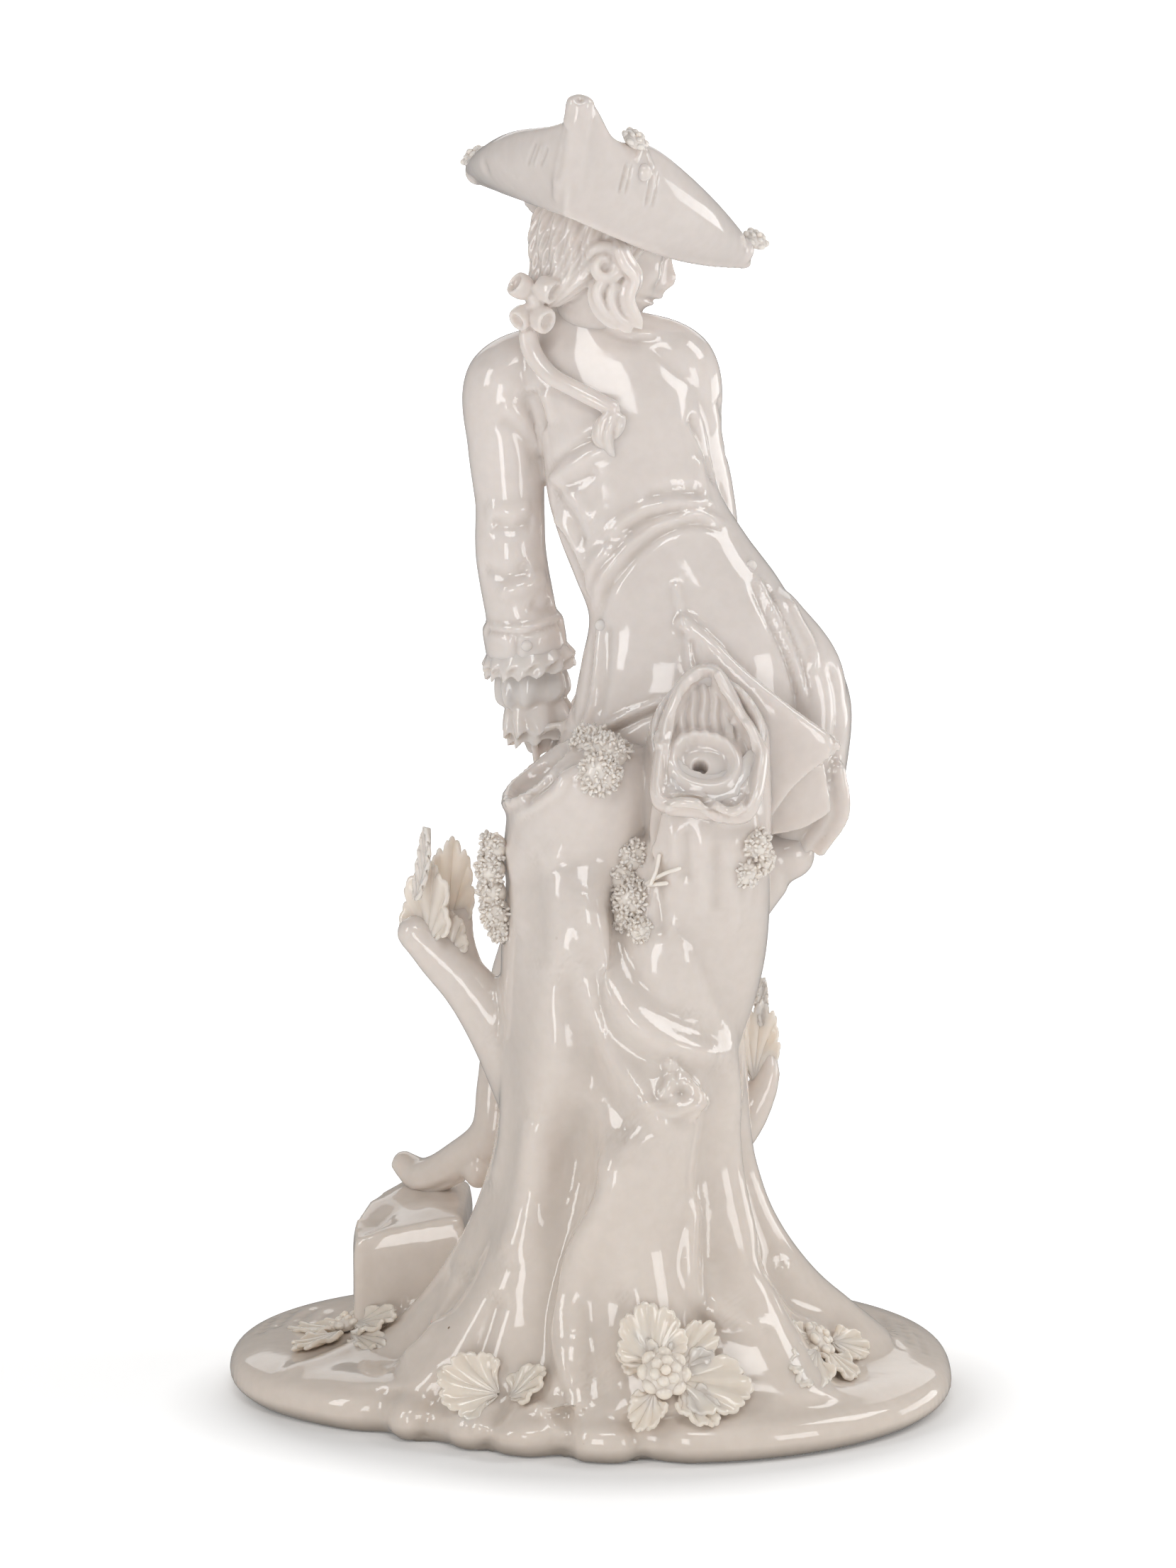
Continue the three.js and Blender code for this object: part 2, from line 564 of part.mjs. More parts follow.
// The queue down the back, a side roll over the ear and loose locks
function hair() {
  const locks = [
    [[6.3, 7.6, 236, 2], [9.6, 9, 229.4, 2.1], [8.4, 9, 223.4, 1.9], [9.4, 8.6, 218.6, 1.2]],
    [[3.4, 8, 229, 2.1], [1.6, 8.4, 223, 2], [4.6, 8.4, 219.4, 1.7], [7.2, 8.4, 217.4, 0.9]],
    [[-6, 31, 236, 2.4], [-6.5, 33, 229, 2.4], [-5, 31, 221, 1.6]],
  ];
  const queue = [
    [-12.2, 11, 220.5, 2], [-11.4, 9.6, 213.8, 2.2], [-8, 7.6, 209.2, 2], [-1.9, 5.2, 206, 2],
    [4.2, 4, 203, 1.9], [6.4, 4, 201.8, 1.6],
  ];
  const tassel = [[5.8, 3.6, 202, 1.4], [2.6, 2.8, 199.4, 2], [3, 2.2, 196, 1.7], [5, 2.2, 193, 0.9]];
  return [
    hairMass(),
    sweep([[2.5, 13.5, 228, 7.5, 5], [0.5, 16, 221, 7, 5]], { rows: 1, sides: 8, caps: 1 }),
    ...locks.map((lock) => sweep(lock, { sides: 4, rows: 4, caps: 1 })),
    set(new THREE.TorusGeometry(2.2, 1.5, 4, 8), [2.9, 7, 231], [0.35, -0.9, -0.1]),
    sweep(queue, { sides: 5, rows: 6, caps: 1 }),
    sweep(tassel, { sides: 4, rows: 4, caps: 1 }),
  ];
}

function bow() {
  const knot = [-10.6, 10, 224];
  const loops = [
    { out: [-2.8, 0.4, 3.2], turn: 49 },
    { out: [2.6, -1, 2.9], turn: -48 },
    { out: [-2.5, 0, -3.3], turn: -53 },
    { out: [1.7, -1, -3.3], turn: 63 },
  ];
  const ties = loops.map(({ out, turn }) => {
    const at = vector(knot).add(vector(out)).toArray();
    return ball(at, [3.2, 1.9, 2.2], { turn: [0, turn, 0], sides: 5, rows: 4 });
  });
  return [ball(knot, [2.3, 2.2, 2.3], { sides: 5, rows: 4 }), ...ties];
}

// Three-cornered hat. Each corner has a tip on the rim and a foot at the lower edge, and each panel between
// two corners bows outwards and sags by the given amounts. The first corner points back. A dip of the rim is
// [depth, share of the way along the panel, width before it, width after it].
const HAT_CORNERS = [
  { tip: [-1.6, -10, 266.4], foot: [-4.6, -8, 243.2] },
  { tip: [32, 39, 232], foot: [33.6, 40, 226.6] },
  { tip: [-24.4, 36, 247.6], foot: [-24, 36, 244.6] },
];
const HAT_PANELS = [
  { rimBow: 4.2, footBow: 3.2, rimLift: 0.2, footSag: 2.6, bulge: 3, dip: [4.4, 0.14, 0.065, 0.13] },
  { rimBow: 3.5, footBow: 1.5, rimLift: 0.5, footSag: 0, bulge: 1.6, dip: [0, 0.5, 1, 1] },
  { rimBow: 4.2, footBow: 1.6, rimLift: -0.5, footSag: -0.4, bulge: 2.4, dip: [4.2, 0.94, 0.28, 0.06] },
];

// Rosettes of the hat: the angle round it, and the offset from its rim
const HAT_ROSETTES = [[38, [0, 0, 1.2]], [119.9, [2.2, 0.8, -0.2]], [240, [1.2, -1, 1.8]]];

// The rim and foot of the turned-up brim at an angle round the hat. The steps crowd towards the corners.
function hatEdge(angle) {
  const turn = euclideanModulo(angle, 360) / 120;
  const index = Math.min(Math.floor(turn), 2);
  const even = turn - index;
  const s = even - 0.09 * Math.sin(2 * Math.PI * even);
  const [start, end] = [HAT_CORNERS[index], HAT_CORNERS[(index + 1) % 3]];
  const panel = HAT_PANELS[index];
  const arch = Math.sin(Math.PI * s);
  const chord = vector(end.foot).sub(vector(start.foot));
  const outward = new THREE.Vector3(chord.y, -chord.x, 0).normalize();
  const cornerWidth = HAT_CORNER_ROUND * Math.min(1, arch * 6);
  const rim = vector(start.tip).lerp(vector(end.tip), s);
  rim.addScaledVector(outward, panel.rimBow * arch + cornerWidth);
  const foot = vector(start.foot).lerp(vector(end.foot), s).addScaledVector(outward, panel.footBow * arch);
  const [depth, at, before, after] = panel.dip;
  rim.z += panel.rimLift * arch - depth * Math.exp(-(((s - at) / (s < at ? before : after)) ** 2));
  foot.z -= panel.footSag * arch;
  return { rim, foot, outward, bulge: panel.bulge * arch + 0.3 };
}

function hat() {
  const crown = vector(HAT_CROWN_CENTRE);
  const up = vector(HAT_CROWN_NORMAL).normalize();
  const wall = [0, 0.35, 0.7];
  const shell = rings(30, 9, (angle, row, pole) => {
    if (pole) return crown.clone().addScaledVector(up, row === 0 ? 1 : HAT_CROWN_HEIGHT);
    const { rim, foot, outward, bulge } = hatEdge(angle);
    if (row <= 3) {
      const u = wall[row - 1];
      return foot.lerp(rim, u).addScaledVector(outward, bulge * Math.sin(Math.PI * u));
    }
    if (row === 4) return rim;
    const inward = vector(HAT_CROWN_CENTRE).sub(rim).setZ(0).normalize();
    if (row === 5) return rim.addScaledVector(inward, HAT_BRIM_THICKNESS);
    const reach = [0.62, 0.56, 0.42][row - 6];
    const rise = [3.4, 7, 11.4][row - 6];
    const spread = foot.sub(crown).clampLength(0, 22);
    return crown.clone().addScaledVector(spread, reach).addScaledVector(up, rise);
  });
  const horn = [[-1.5, -8.6, 264.4, 2.9, 1.9], [-2.8, -7.3, 256, 3.1, 2.2], [-3.9, -5, 246.4, 3.2, 2.2]];
  const left = ball([-22, 34.8, 246.7], [2.9, 2.6, 3.3], { turn: [0, 25, 0], sides: 6, rows: 4 });
  const right = ball([31, 38, 229.6], [2.8, 2.6, 3.2], { turn: [0, 35, 0], sides: 6, rows: 4 });
  const button = ball([11.8, 0.9, 249.8], [2, 2, 2], { sides: 6, rows: 4 });
  const rosettes = HAT_ROSETTES.map(([angle, offset]) => {
    const { rim, outward } = hatEdge(angle);
    return rosette(rim.add(vector(offset)).toArray(), [outward.x, outward.y, 1.2], HAT_ROSETTE_RADIUS);
  });
  return [shell, sweep(horn, { sides: 7, rows: 3, caps: 1 }), left, right, button, ...rosettes];
}

// Applied pieces

// A rosette of petals round a button of berries.
function rosette(at, normal, radius, petals = 5) {
  const form = rings(petals * 2, 4, (angle, row, pole) => {
    if (pole) return vector([0, 0, (row === 0 ? -0.9 : 0.6) * radius]);
    const petal = 0.5 + 0.5 * Math.cos(degToRad(angle * petals));
    const out = radius * [0, 0.78 + 0.34 * petal, 0.5, 0.36][row];
    const rise = radius * [0, 0.05 + 0.2 * petal, 0.08, 0.5][row];
    return vector([out * Math.cos(degToRad(angle)), out * Math.sin(degToRad(angle)), rise]);
  });
  return set(form, at, normal);
}

// A leaf from its stem end to its tip, scalloped round its edge and curled.
function leaf(stem, tip, normal, width, curl = 1.5) {
  const heading = vector(tip).sub(vector(stem));
  const form = rings(8, 3, (angle, row, pole) => {
    const edge = pole ? 0 : 1 + 0.12 * Math.cos(degToRad(angle) * 4);
    const u = edge * Math.cos(degToRad(angle));
    const v = edge * Math.sin(degToRad(angle));
    const side = row <= 1 ? -0.5 : 0.5;
    const bend = curl * (u * u + v * v) - curl * 0.5 * Math.abs(v);
    const x = (u + 1) * heading.length() * 0.5;
    return vector([x, v * width * 0.5 * (1 - 0.25 * u), bend + side * LEAF_THICKNESS + LEAF_RAISE]);
  });
  return set(form, stem, normal, heading.toArray());
}

// A tuft of moss: a small mound of short blunt spikes.
function moss(at, normal, radius) {
  const form = rings(8, 4, (angle, row, pole) => {
    const tall = (Math.round(angle / 45) + row) % 2 === 0;
    const out = radius * (tall || pole ? 1.1 : 0.72);
    const polar = (row / 4) * Math.PI;
    const flat = out * Math.sin(polar);
    const rise = -MOSS_SQUASH * out * Math.cos(polar);
    return vector([flat * Math.cos(degToRad(angle)), flat * Math.sin(degToRad(angle)), rise]);
  });
  return set(form, at, normal);
}

function applied() {
  const onLeft = [-0.9, -0.5, 0];
  const onRoot = [0.2, -0.84, 0.5];
  const upwards = [0, -0.15, 1];
  return [
    moss([2.6, -21.6, 135.5], [0, -1, 0.1], 5.2),
    moss([-18, -12, 113.5], onLeft, 4),
    moss([-18.6, -12, 103.5], onLeft, 4),
    moss([9.6, -19.8, 115.5], [-0.5, -0.85, 0], 4),
    moss([8.6, -23, 107.5], [-0.3, -0.9, 0.3], 5),
    moss([33, -21.5, 116], [0.6, -0.8, 0], 4.4),
    leaf([-31, -5, 94], [-33.6, -8, 118.5], onLeft, 13, 3),
    leaf([-26, 0, 97], [-24.5, 5, 115], [0.3, -0.95, 0], 13, 2),
    leaf([-30, -6, 86], [-24, -7, 98], [-0.2, -1, 0.2], 9, 1),
    leaf([36.5, 4.5, 62], [33.5, 5, 81], [0.75, -0.65, 0], 11, 2.5),
    leaf([-51, 0, 10.6], [-64, 2, 9.4], upwards, 9),
    leaf([-51, 1, 10.8], [-40, -2, 12.6], [-0.2, -0.3, 1], 10),
    leaf([-52, -1, 10.6], [-58, -10, 9.4], upwards, 8),
    rosette([-51.5, 1, 11.6], upwards, 4.2),
    leaf([-16.6, -40.9, 11.2], [-28.2, -36, 11.2], [-0.3, -0.75, 0.6], 12),
    leaf([-14.5, -42.5, 12], [-7, -45, 12], [-0.2, -0.8, 0.5], 8),
    leaf([15, -45, 18], [12.5, -40.5, 28], [0.2, -0.93, 0.3], 12),
    leaf([17.5, -44.6, 14.4], [31, -41.5, 10.6], [0.3, -0.75, 0.6], 12),
    leaf([14, -46.6, 14], [8.8, -50.4, 10], [-0.2, -0.85, 0.5], 8),
    rosette([15.6, -46.4, 16.2], onRoot, 6.2, 7),
    leaf([45, -24, 15.2], [41, -33, 16.6], [0.6, -0.4, 0.6], 9),
    leaf([48.5, -23, 13.2], [51.5, -34, 10.6], [0.3, -0.2, 1], 9),
    leaf([49, -19, 13.2], [58.5, -13, 11.6], [0.3, -0.2, 1], 8),
    rosette([46.8, -21.6, 15.4], [0.4, -0.6, 0.7], 4.6),
    knotScar(),
  ];
}

// A place on the trunk at an angle and height, raised above its surface.
function onTrunk(angle, z, raise) {
  const reach = trunkReach(angle, z) + raise;
  const [x, y] = TRUNK_AXIS;
  return [x + reach * Math.cos(degToRad(angle)), y + reach * Math.sin(degToRad(angle)), z];
}

// The scar of a lost branch low on the trunk: a three-cornered ridge round a pit.
function knotScar() {
  const corners = [[294, 78], [304, 72.5], [314, 67.5], [298, 66], [283, 67.5], [289, 73], [294, 78]];
  const ridge = corners.map(([angle, z]) => [...onTrunk(angle, z, 0.4), 1.4]);
  return sweep(ridge, { sides: 4, rows: 9, caps: 1 });
}

function figure() {
  const forms = [
    ground(), leftStump(), rightStump(), bark(), ...branches(), ...rocks(), ...legs(), ...coat(), ...arms(),
    ...face(), ...hair(), ...bow(), ...hat(), ...applied(),
  ];
  return join(forms.map(solid));
}

const mesh = new THREE.Mesh(geometryOf(figure()), new THREE.MeshStandardMaterial(GLAZE));
mesh.name = "porcelain_figure";
const group = new THREE.Group();
group.add(mesh);
export default group;
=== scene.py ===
"""Looks of a glazed porcelain figure: a gentleman in a three-cornered hat leans on a tree trunk.

Shapes are made in millimetres, +Z up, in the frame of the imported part, and become metres in the meshes.
"""

import bpy
import numpy as np
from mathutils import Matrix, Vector
from mathutils.bvhtree import BVHTree


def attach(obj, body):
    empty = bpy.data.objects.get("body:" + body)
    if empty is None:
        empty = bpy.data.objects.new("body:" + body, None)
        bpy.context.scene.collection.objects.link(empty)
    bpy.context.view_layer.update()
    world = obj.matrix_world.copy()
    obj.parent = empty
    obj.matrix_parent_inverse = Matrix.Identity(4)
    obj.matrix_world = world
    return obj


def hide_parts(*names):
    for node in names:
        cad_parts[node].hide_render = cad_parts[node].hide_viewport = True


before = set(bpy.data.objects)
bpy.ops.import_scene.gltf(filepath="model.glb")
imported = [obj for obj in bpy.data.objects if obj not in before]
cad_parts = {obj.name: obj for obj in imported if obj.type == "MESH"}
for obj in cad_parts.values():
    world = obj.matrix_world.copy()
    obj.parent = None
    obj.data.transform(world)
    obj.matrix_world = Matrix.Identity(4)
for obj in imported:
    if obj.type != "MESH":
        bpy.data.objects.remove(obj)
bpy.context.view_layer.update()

MM = 0.001

# Photograph and camera
PHOTO_SIZE = (1659, 2212)
CAMERA_TARGET = np.array([0.0, -8.0, 128.5])
CAMERA_DISTANCE = 1400.0
CAMERA_ELEVATION = np.radians(12.0)
CAMERA_LENS = 160.6
CAMERA_SENSOR = 36.0
PIXELS_PER_MM = 7.05
CAMERA_BACK = np.array([0.0, -np.cos(CAMERA_ELEVATION), np.sin(CAMERA_ELEVATION)])
CAMERA_UP = np.array([0.0, np.sin(CAMERA_ELEVATION), np.cos(CAMERA_ELEVATION)])
CAMERA_PLACE = CAMERA_TARGET + CAMERA_BACK * CAMERA_DISTANCE

# Finest grain of each joined form
TRUNK_GRAIN = 0.85
BODY_GRAIN = 0.68
HEAD_GRAIN = 0.3
HAT_GRAIN = 0.4
LACE_GRAIN = 0.4

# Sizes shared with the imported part
BASE_HALF_WIDTH = 74
BASE_HALF_DEPTH = 53
BASE_LIP_HEIGHT = 8.5
BASE_OVAL_POWER = 2.4
TRUNK_AXIS = np.array([6.0, -8.0])
TRUNK_TOP = 119
VENT_RADIUS = 1.2
HEAD_CENTRE = np.array([3.4, 22.5, 233.4])
HEAD_SCALE = 1.13
HEAD_YAW = 14
HEAD_PITCH = 20
HAT_CROWN_CENTRE = np.array([0.0, 21.0, 239.0])
HAT_CROWN_NORMAL = np.array([0.26, 0.49, 0.83])
HAT_CROWN_HEIGHT = 13
HAT_CORNER_ROUND = 1
COAT_OVAL_POWER = 2.3
WAIST_LEAN = 10.5


# Numbers and curves


def unit(vectors):
    vectors = np.asarray(vectors, float)
    return vectors / np.maximum(np.linalg.norm(vectors, axis=-1, keepdims=True), 1e-9)


def cosd(degrees):
    return np.cos(np.radians(degrees))


def sind(degrees):
    return np.sin(np.radians(degrees))


def bump(angle, centre, width):
    """1 at a centre angle, fading over a width in degrees."""
    away = (np.asarray(angle, float) - centre + 180) % 360 - 180
    return np.exp(-((away / width) ** 2))


def hill(value, centre, width):
    return np.exp(-(((np.asarray(value, float) - centre) / width) ** 2))


def at_height(table, z):
    """Values of a table whose rows are [height, value ...], lowest first, at one height or several."""
    table = np.asarray(table, float)
    z = np.clip(np.asarray(z, float), table[0, 0], table[-1, 0])
    i = np.clip(np.searchsorted(table[:, 0], z, side="right") - 1, 0, len(table) - 2)
    t = ((z - table[i, 0]) / (table[i + 1, 0] - table[i, 0]))[..., None]
    a = table[np.maximum(i - 1, 0), 1:]
    b, c = table[i, 1:], table[i + 1, 1:]
    d = table[np.minimum(i + 2, len(table) - 1), 1:]
    return (2 * b + (c - a) * t + (2 * a - 5 * b + 4 * c - d) * t**2 + (3 * b - a - 3 * c + d) * t**3) / 2


def along(points, shares):
    """Points and directions of a smooth curve through given points, at shares of the way."""
    p = np.asarray(points, float)
    p = np.concatenate([[2 * p[0] - p[1]], p, [2 * p[-1] - p[-2]]])
    s = np.clip(np.asarray(shares, float), 0, 1) * (len(points) - 1)
    i = np.minimum(s.astype(int), len(points) - 2)
    w = (s - i).reshape((-1,) + (1,) * (p.ndim - 1))
    q = [p[i + k] for k in range(4)]
    d = [np.maximum(np.linalg.norm(q[k + 1] - q[k], axis=-1, keepdims=True) ** 0.5, 1e-4) for k in range(3)]
    m1 = ((q[1] - q[0]) / d[0] - (q[2] - q[0]) / (d[0] + d[1]) + (q[2] - q[1]) / d[1]) * d[1]
    m2 = ((q[2] - q[1]) / d[1] - (q[3] - q[1]) / (d[1] + d[2]) + (q[3] - q[2]) / d[2]) * d[1]
    e, f = 3 * (q[2] - q[1]) - 2 * m1 - m2, 2 * (q[1] - q[2]) + m1 + m2
    return q[1] + m1 * w + e * w**2 + f * w**3, unit(m1 + 2 * e * w + 3 * f * w**2)


def angles(columns):
    return np.arange(columns) * 360.0 / columns


# Closed forms. A form is a pair: vertices in millimetres, and faces as lists of vertex numbers.


def quads(rows, columns, rows_join=False, columns_join=False):
    """Faces between the points of a grid. Its rows or its columns can close on themselves."""
    r, c = np.meshgrid(np.arange(rows - 1 + rows_join), np.arange(columns - 1 + columns_join), indexing="ij")
    this, below, after = r * columns, (r + 1) % rows * columns, (c + 1) % columns
    return np.stack([this + c, this + after, below + after, below + c], -1).reshape(-1, 4)


def closed(grid):
    """A closed form of rings of points. The first and last ring shrink to their centres."""
    rows, columns = grid.shape[:2]
    points = np.concatenate([grid.reshape(-1, 3), [grid[0].mean(0)], [grid[-1].mean(0)]])
    column = np.arange(columns)
    after = (column + 1) % columns
    top = (rows - 1) * columns
    first = np.stack([after, column, np.full(columns, rows * columns)], -1)
    last = np.stack([top + column, top + after, np.full(columns, rows * columns + 1)], -1)
    return points, quads(rows, columns, columns_join=True).tolist() + first.tolist() + last.tolist()


def smooth_rows(grid, count):
    """More rings between the given ones, on smooth curves."""
    return along(grid, np.linspace(0, 1, count))[0]


def frames(tangent, across):
    side = np.broadcast_to(np.asarray(across, float), tangent.shape)
    side = unit(side - (side * tangent).sum(-1, keepdims=True) * tangent)
    return side, np.cross(tangent, side)


def tube(points, shares, half_width, half_depth, across=(1, 0, 0), sides=32):
    """Oval rings along a curve."""
    centre, tangent = along(points, shares)
    side, other = frames(tangent, across)
    a = angles(sides)
    w = np.broadcast_to(half_width, len(centre))[:, None, None]
    d = np.broadcast_to(half_depth, len(centre))[:, None, None]
    around = side[:, None] * w * cosd(a)[None, :, None] + other[:, None] * d * sind(a)[None, :, None]
    return centre[:, None] + around


def stationed(stations, rows):
    """Places, shares of the way and sizes of stations [x, y, z, half width, half depth]."""
    stations = np.array([list(s) + [s[-1]] * (5 - len(s)) for s in stations], float)
    shares = np.linspace(0, 1, rows)
    size = at_height(np.column_stack([np.linspace(0, 1, len(stations)), stations[:, 3:5]]), shares)
    return stations[:, :3], shares, size


def bar(stations, across=(1, 0, 0), sides=32, rows=60, blunt=1.0):
    """A bar with rounded ends, through stations."""
    places, shares, size = stationed(stations, rows)
    grid = tube(places, shares, size[:, 0], size[:, 1], across, sides)
    caps = []
    for end, sign in ((0, -1), (-1, 1)):
        centre, tangent = along(places, [shares[end]])
        reach = size[end].min() * blunt
        steps = np.linspace(1, 0, 7)[:-1] if end == 0 else np.linspace(0, 1, 7)[1:]
        turned = np.arcsin(np.minimum(steps, 0.995))
        ring = grid[end][None] - centre[:, None]
        caps.append(centre[:, None] + ring * np.cos(turned)[:, None, None]
                    + sign * tangent[:, None] * (reach * np.sin(turned))[:, None, None])
    return closed(np.concatenate([caps[0], grid, caps[1]]))


def limb(joints, rows, across=(1, 0, 0), sides=48, count=150):
    """A limb. Rows are [joint number, half width, half depth]."""
    rows = np.array([row[:3] for row in rows], float)
    number = np.linspace(rows[0, 0], rows[-1, 0], count)
    width = np.interp(number, rows[:, 0], rows[:, 1])
    depth = np.interp(number, rows[:, 0], rows[:, 2])
    return closed(tube(joints, number / (len(joints) - 1), width, depth, across, sides))


def ball(at, radii, turn=(0, 0, 0), sides=24, rows=14):
    polar = np.linspace(0.04, np.pi - 0.04, rows)
    a = np.radians(angles(sides))
    grid = np.stack([np.outer(np.sin(polar), np.cos(a)), np.outer(np.sin(polar), np.sin(a)),
                     np.outer(-np.cos(polar), np.ones(sides))], -1) * np.asarray(radii, float)
    for axis, degrees in enumerate(turn):
        grid = rotated(grid, axis, degrees)
    return closed(grid + np.asarray(at, float))


def rotated(points, axis, degrees):
    c, s = cosd(degrees), sind(degrees)
    i, j = [(1, 2), (2, 0), (0, 1)][axis]
    out = points.copy()
    out[..., i] = points[..., i] * c - points[..., j] * s
    out[..., j] = points[..., i] * s + points[..., j] * c
    return out


def basis(normal, heading=(1, 0, 0.01)):
    """Rows are the local X, Y and Z of a place with a normal and a heading."""
    z = unit(normal)
    x = np.asarray(heading, float)
    x = unit(x - z.dot(x) * z)
    return np.stack([x, np.cross(z, x), z])


def placed(form, at, normal, heading=(1, 0, 0.01)):
    return form[0] @ basis(normal, heading) + np.asarray(at, float), form[1]


def together(forms):
    points, faces, base = [], [], 0
    for form_points, form_faces in forms:
        points.append(form_points)
        faces += [[base + v for v in face] for face in form_faces]
        base += len(form_points)
    return np.concatenate(points), faces


def slab(grid, thickness, rounding=0.5):
    """A thick sheet over a grid of points. It thins to a rounded edge."""
    rows, columns = grid.shape[:2]
    du = np.gradient(grid, axis=0)
    dv = np.gradient(grid, axis=1)
    normal = unit(np.cross(du, dv))
    u = np.minimum(np.arange(rows), np.arange(rows)[::-1])[:, None]
    v = np.minimum(np.arange(columns), np.arange(columns)[::-1])[None, :]
    edge = np.minimum(np.minimum(u, v) / 2.0, 1.0)
    half = thickness / 2 * (rounding + (1 - rounding) * np.sqrt(1 - (1 - edge) ** 2))[..., None]
    top, bottom = grid + normal * half, grid - normal * half
    points = np.concatenate([top.reshape(-1, 3), bottom.reshape(-1, 3)])
    total = rows * columns
    upper = quads(rows, columns)[:, [0, 3, 2, 1]]
    lower = upper[:, ::-1] + total
    rim = np.concatenate([
        np.arange(columns - 1), np.arange(rows - 1) * columns + columns - 1,
        (rows - 1) * columns + np.arange(columns - 1, 0, -1), np.arange(rows - 1, 0, -1) * columns])
    after = np.roll(rim, -1)
    wall = np.stack([rim, after, after + total, rim + total], -1)
    return points, upper.tolist() + lower.tolist() + wall.tolist()


# Meshes


def add_mesh(name, form):
    points, faces = form
    mesh = bpy.data.meshes.new(name)
    mesh.from_pydata((np.asarray(points) * MM).tolist(), [], faces)
    mesh.validate()
    mesh.update()
    mesh.shade_smooth()
    thing = bpy.data.objects.new(name, mesh)
    bpy.context.scene.collection.objects.link(thing)
    return thing


def fused(name, forms, grain, softening):
    """One mesh that joins closed forms as wet clay, its creases softened."""
    thing = add_mesh(name, together(forms))
    remesh = thing.modifiers.new("join", "REMESH")
    remesh.mode = "VOXEL"
    remesh.voxel_size = grain * MM
    smooth = thing.modifiers.new("soften", "SMOOTH")
    smooth.factor = 0.5
    smooth.iterations = softening
    graph = bpy.context.evaluated_depsgraph_get()
    mesh = bpy.data.meshes.new_from_object(thing.evaluated_get(graph))
    thing.modifiers.clear()
    old = thing.data
    thing.data = mesh
    bpy.data.meshes.remove(old)
    mesh.shade_smooth()
    return thing


def vertices_of(thing):
    points = np.empty(len(thing.data.vertices) * 3, np.float32)
    thing.data.vertices.foreach_get("co", points)
    return points.reshape(-1, 3).astype(float) / MM


def tree_of(thing):
    faces = [tuple(face.vertices) for face in thing.data.polygons]
    return BVHTree.FromPolygons(vertices_of(thing).tolist(), faces)


def normals_of(thing):
    normals = np.empty(len(thing.data.vertices) * 3, np.float32)
    thing.data.vertex_normals.foreach_get("vector", normals)
    return normals.reshape(-1, 3).astype(float)


def move_vertices(thing, points):
    thing.data.vertices.foreach_set("co", (points * MM).astype(np.float32).ravel())
    thing.data.update()


# Modelled lines: each is drawn over the surface as seen from one side, and raises or lowers the clay.


def photo_rays(pixels):
    """Rays from the camera through pixels of the photograph."""
    pixels = np.asarray(pixels, float)
    x = (pixels[:, 0] - PHOTO_SIZE[0] / 2) / PIXELS_PER_MM
    y = -(pixels[:, 1] - PHOTO_SIZE[1] / 2) / PIXELS_PER_MM
    on_plane = CAMERA_TARGET + x[:, None] * np.array([1.0, 0, 0]) + y[:, None] * CAMERA_UP
    return np.broadcast_to(CAMERA_PLACE, on_plane.shape), unit(on_plane - CAMERA_PLACE)


def side_rays(azimuth, places):
    """Level rays at an azimuth through places [across, height]. Azimuth 180 looks at the front."""
    places = np.asarray(places, float)
    right = np.array([cosd(azimuth), sind(azimuth), 0.0])
    ahead = np.array([-sind(azimuth), cosd(azimuth), 0.0])
    start = places[:, :1] * right + np.array([0.0, 0.0, 1.0]) * places[:, 1:] - ahead * 300
    return start, np.broadcast_to(ahead, start.shape)


def cast(tree, rays):
    found = []
    for start, direction in zip(*rays):
        hit = tree.ray_cast(Vector(start), Vector(direction))[0]
        if hit is not None:
            found.append(hit[:])
    return np.array(found, float)


def dense(line, step=0.02):
    line = np.asarray(line, float)
    return along(line, np.linspace(0, 1, int((len(line) - 1) / step) + 1))[0]


def seen(azimuth, lines):
    """Lines [places, width, rise, kind] with the side they are seen from. A soft line has no kind."""
    return [[azimuth, *line, "soft"][:5] for line in lines]


# How far a line acts, in widths, how far round the back, and the share of its length that fades at each end
LINE_REACH = 3
LINE_BACK_LIMIT = -0.25
LINE_TAPER = 0.18
# How soon a step rises, and how far it reaches, both in widths
STEP_SHARPNESS = 0.22
STEP_REACH = 1.6


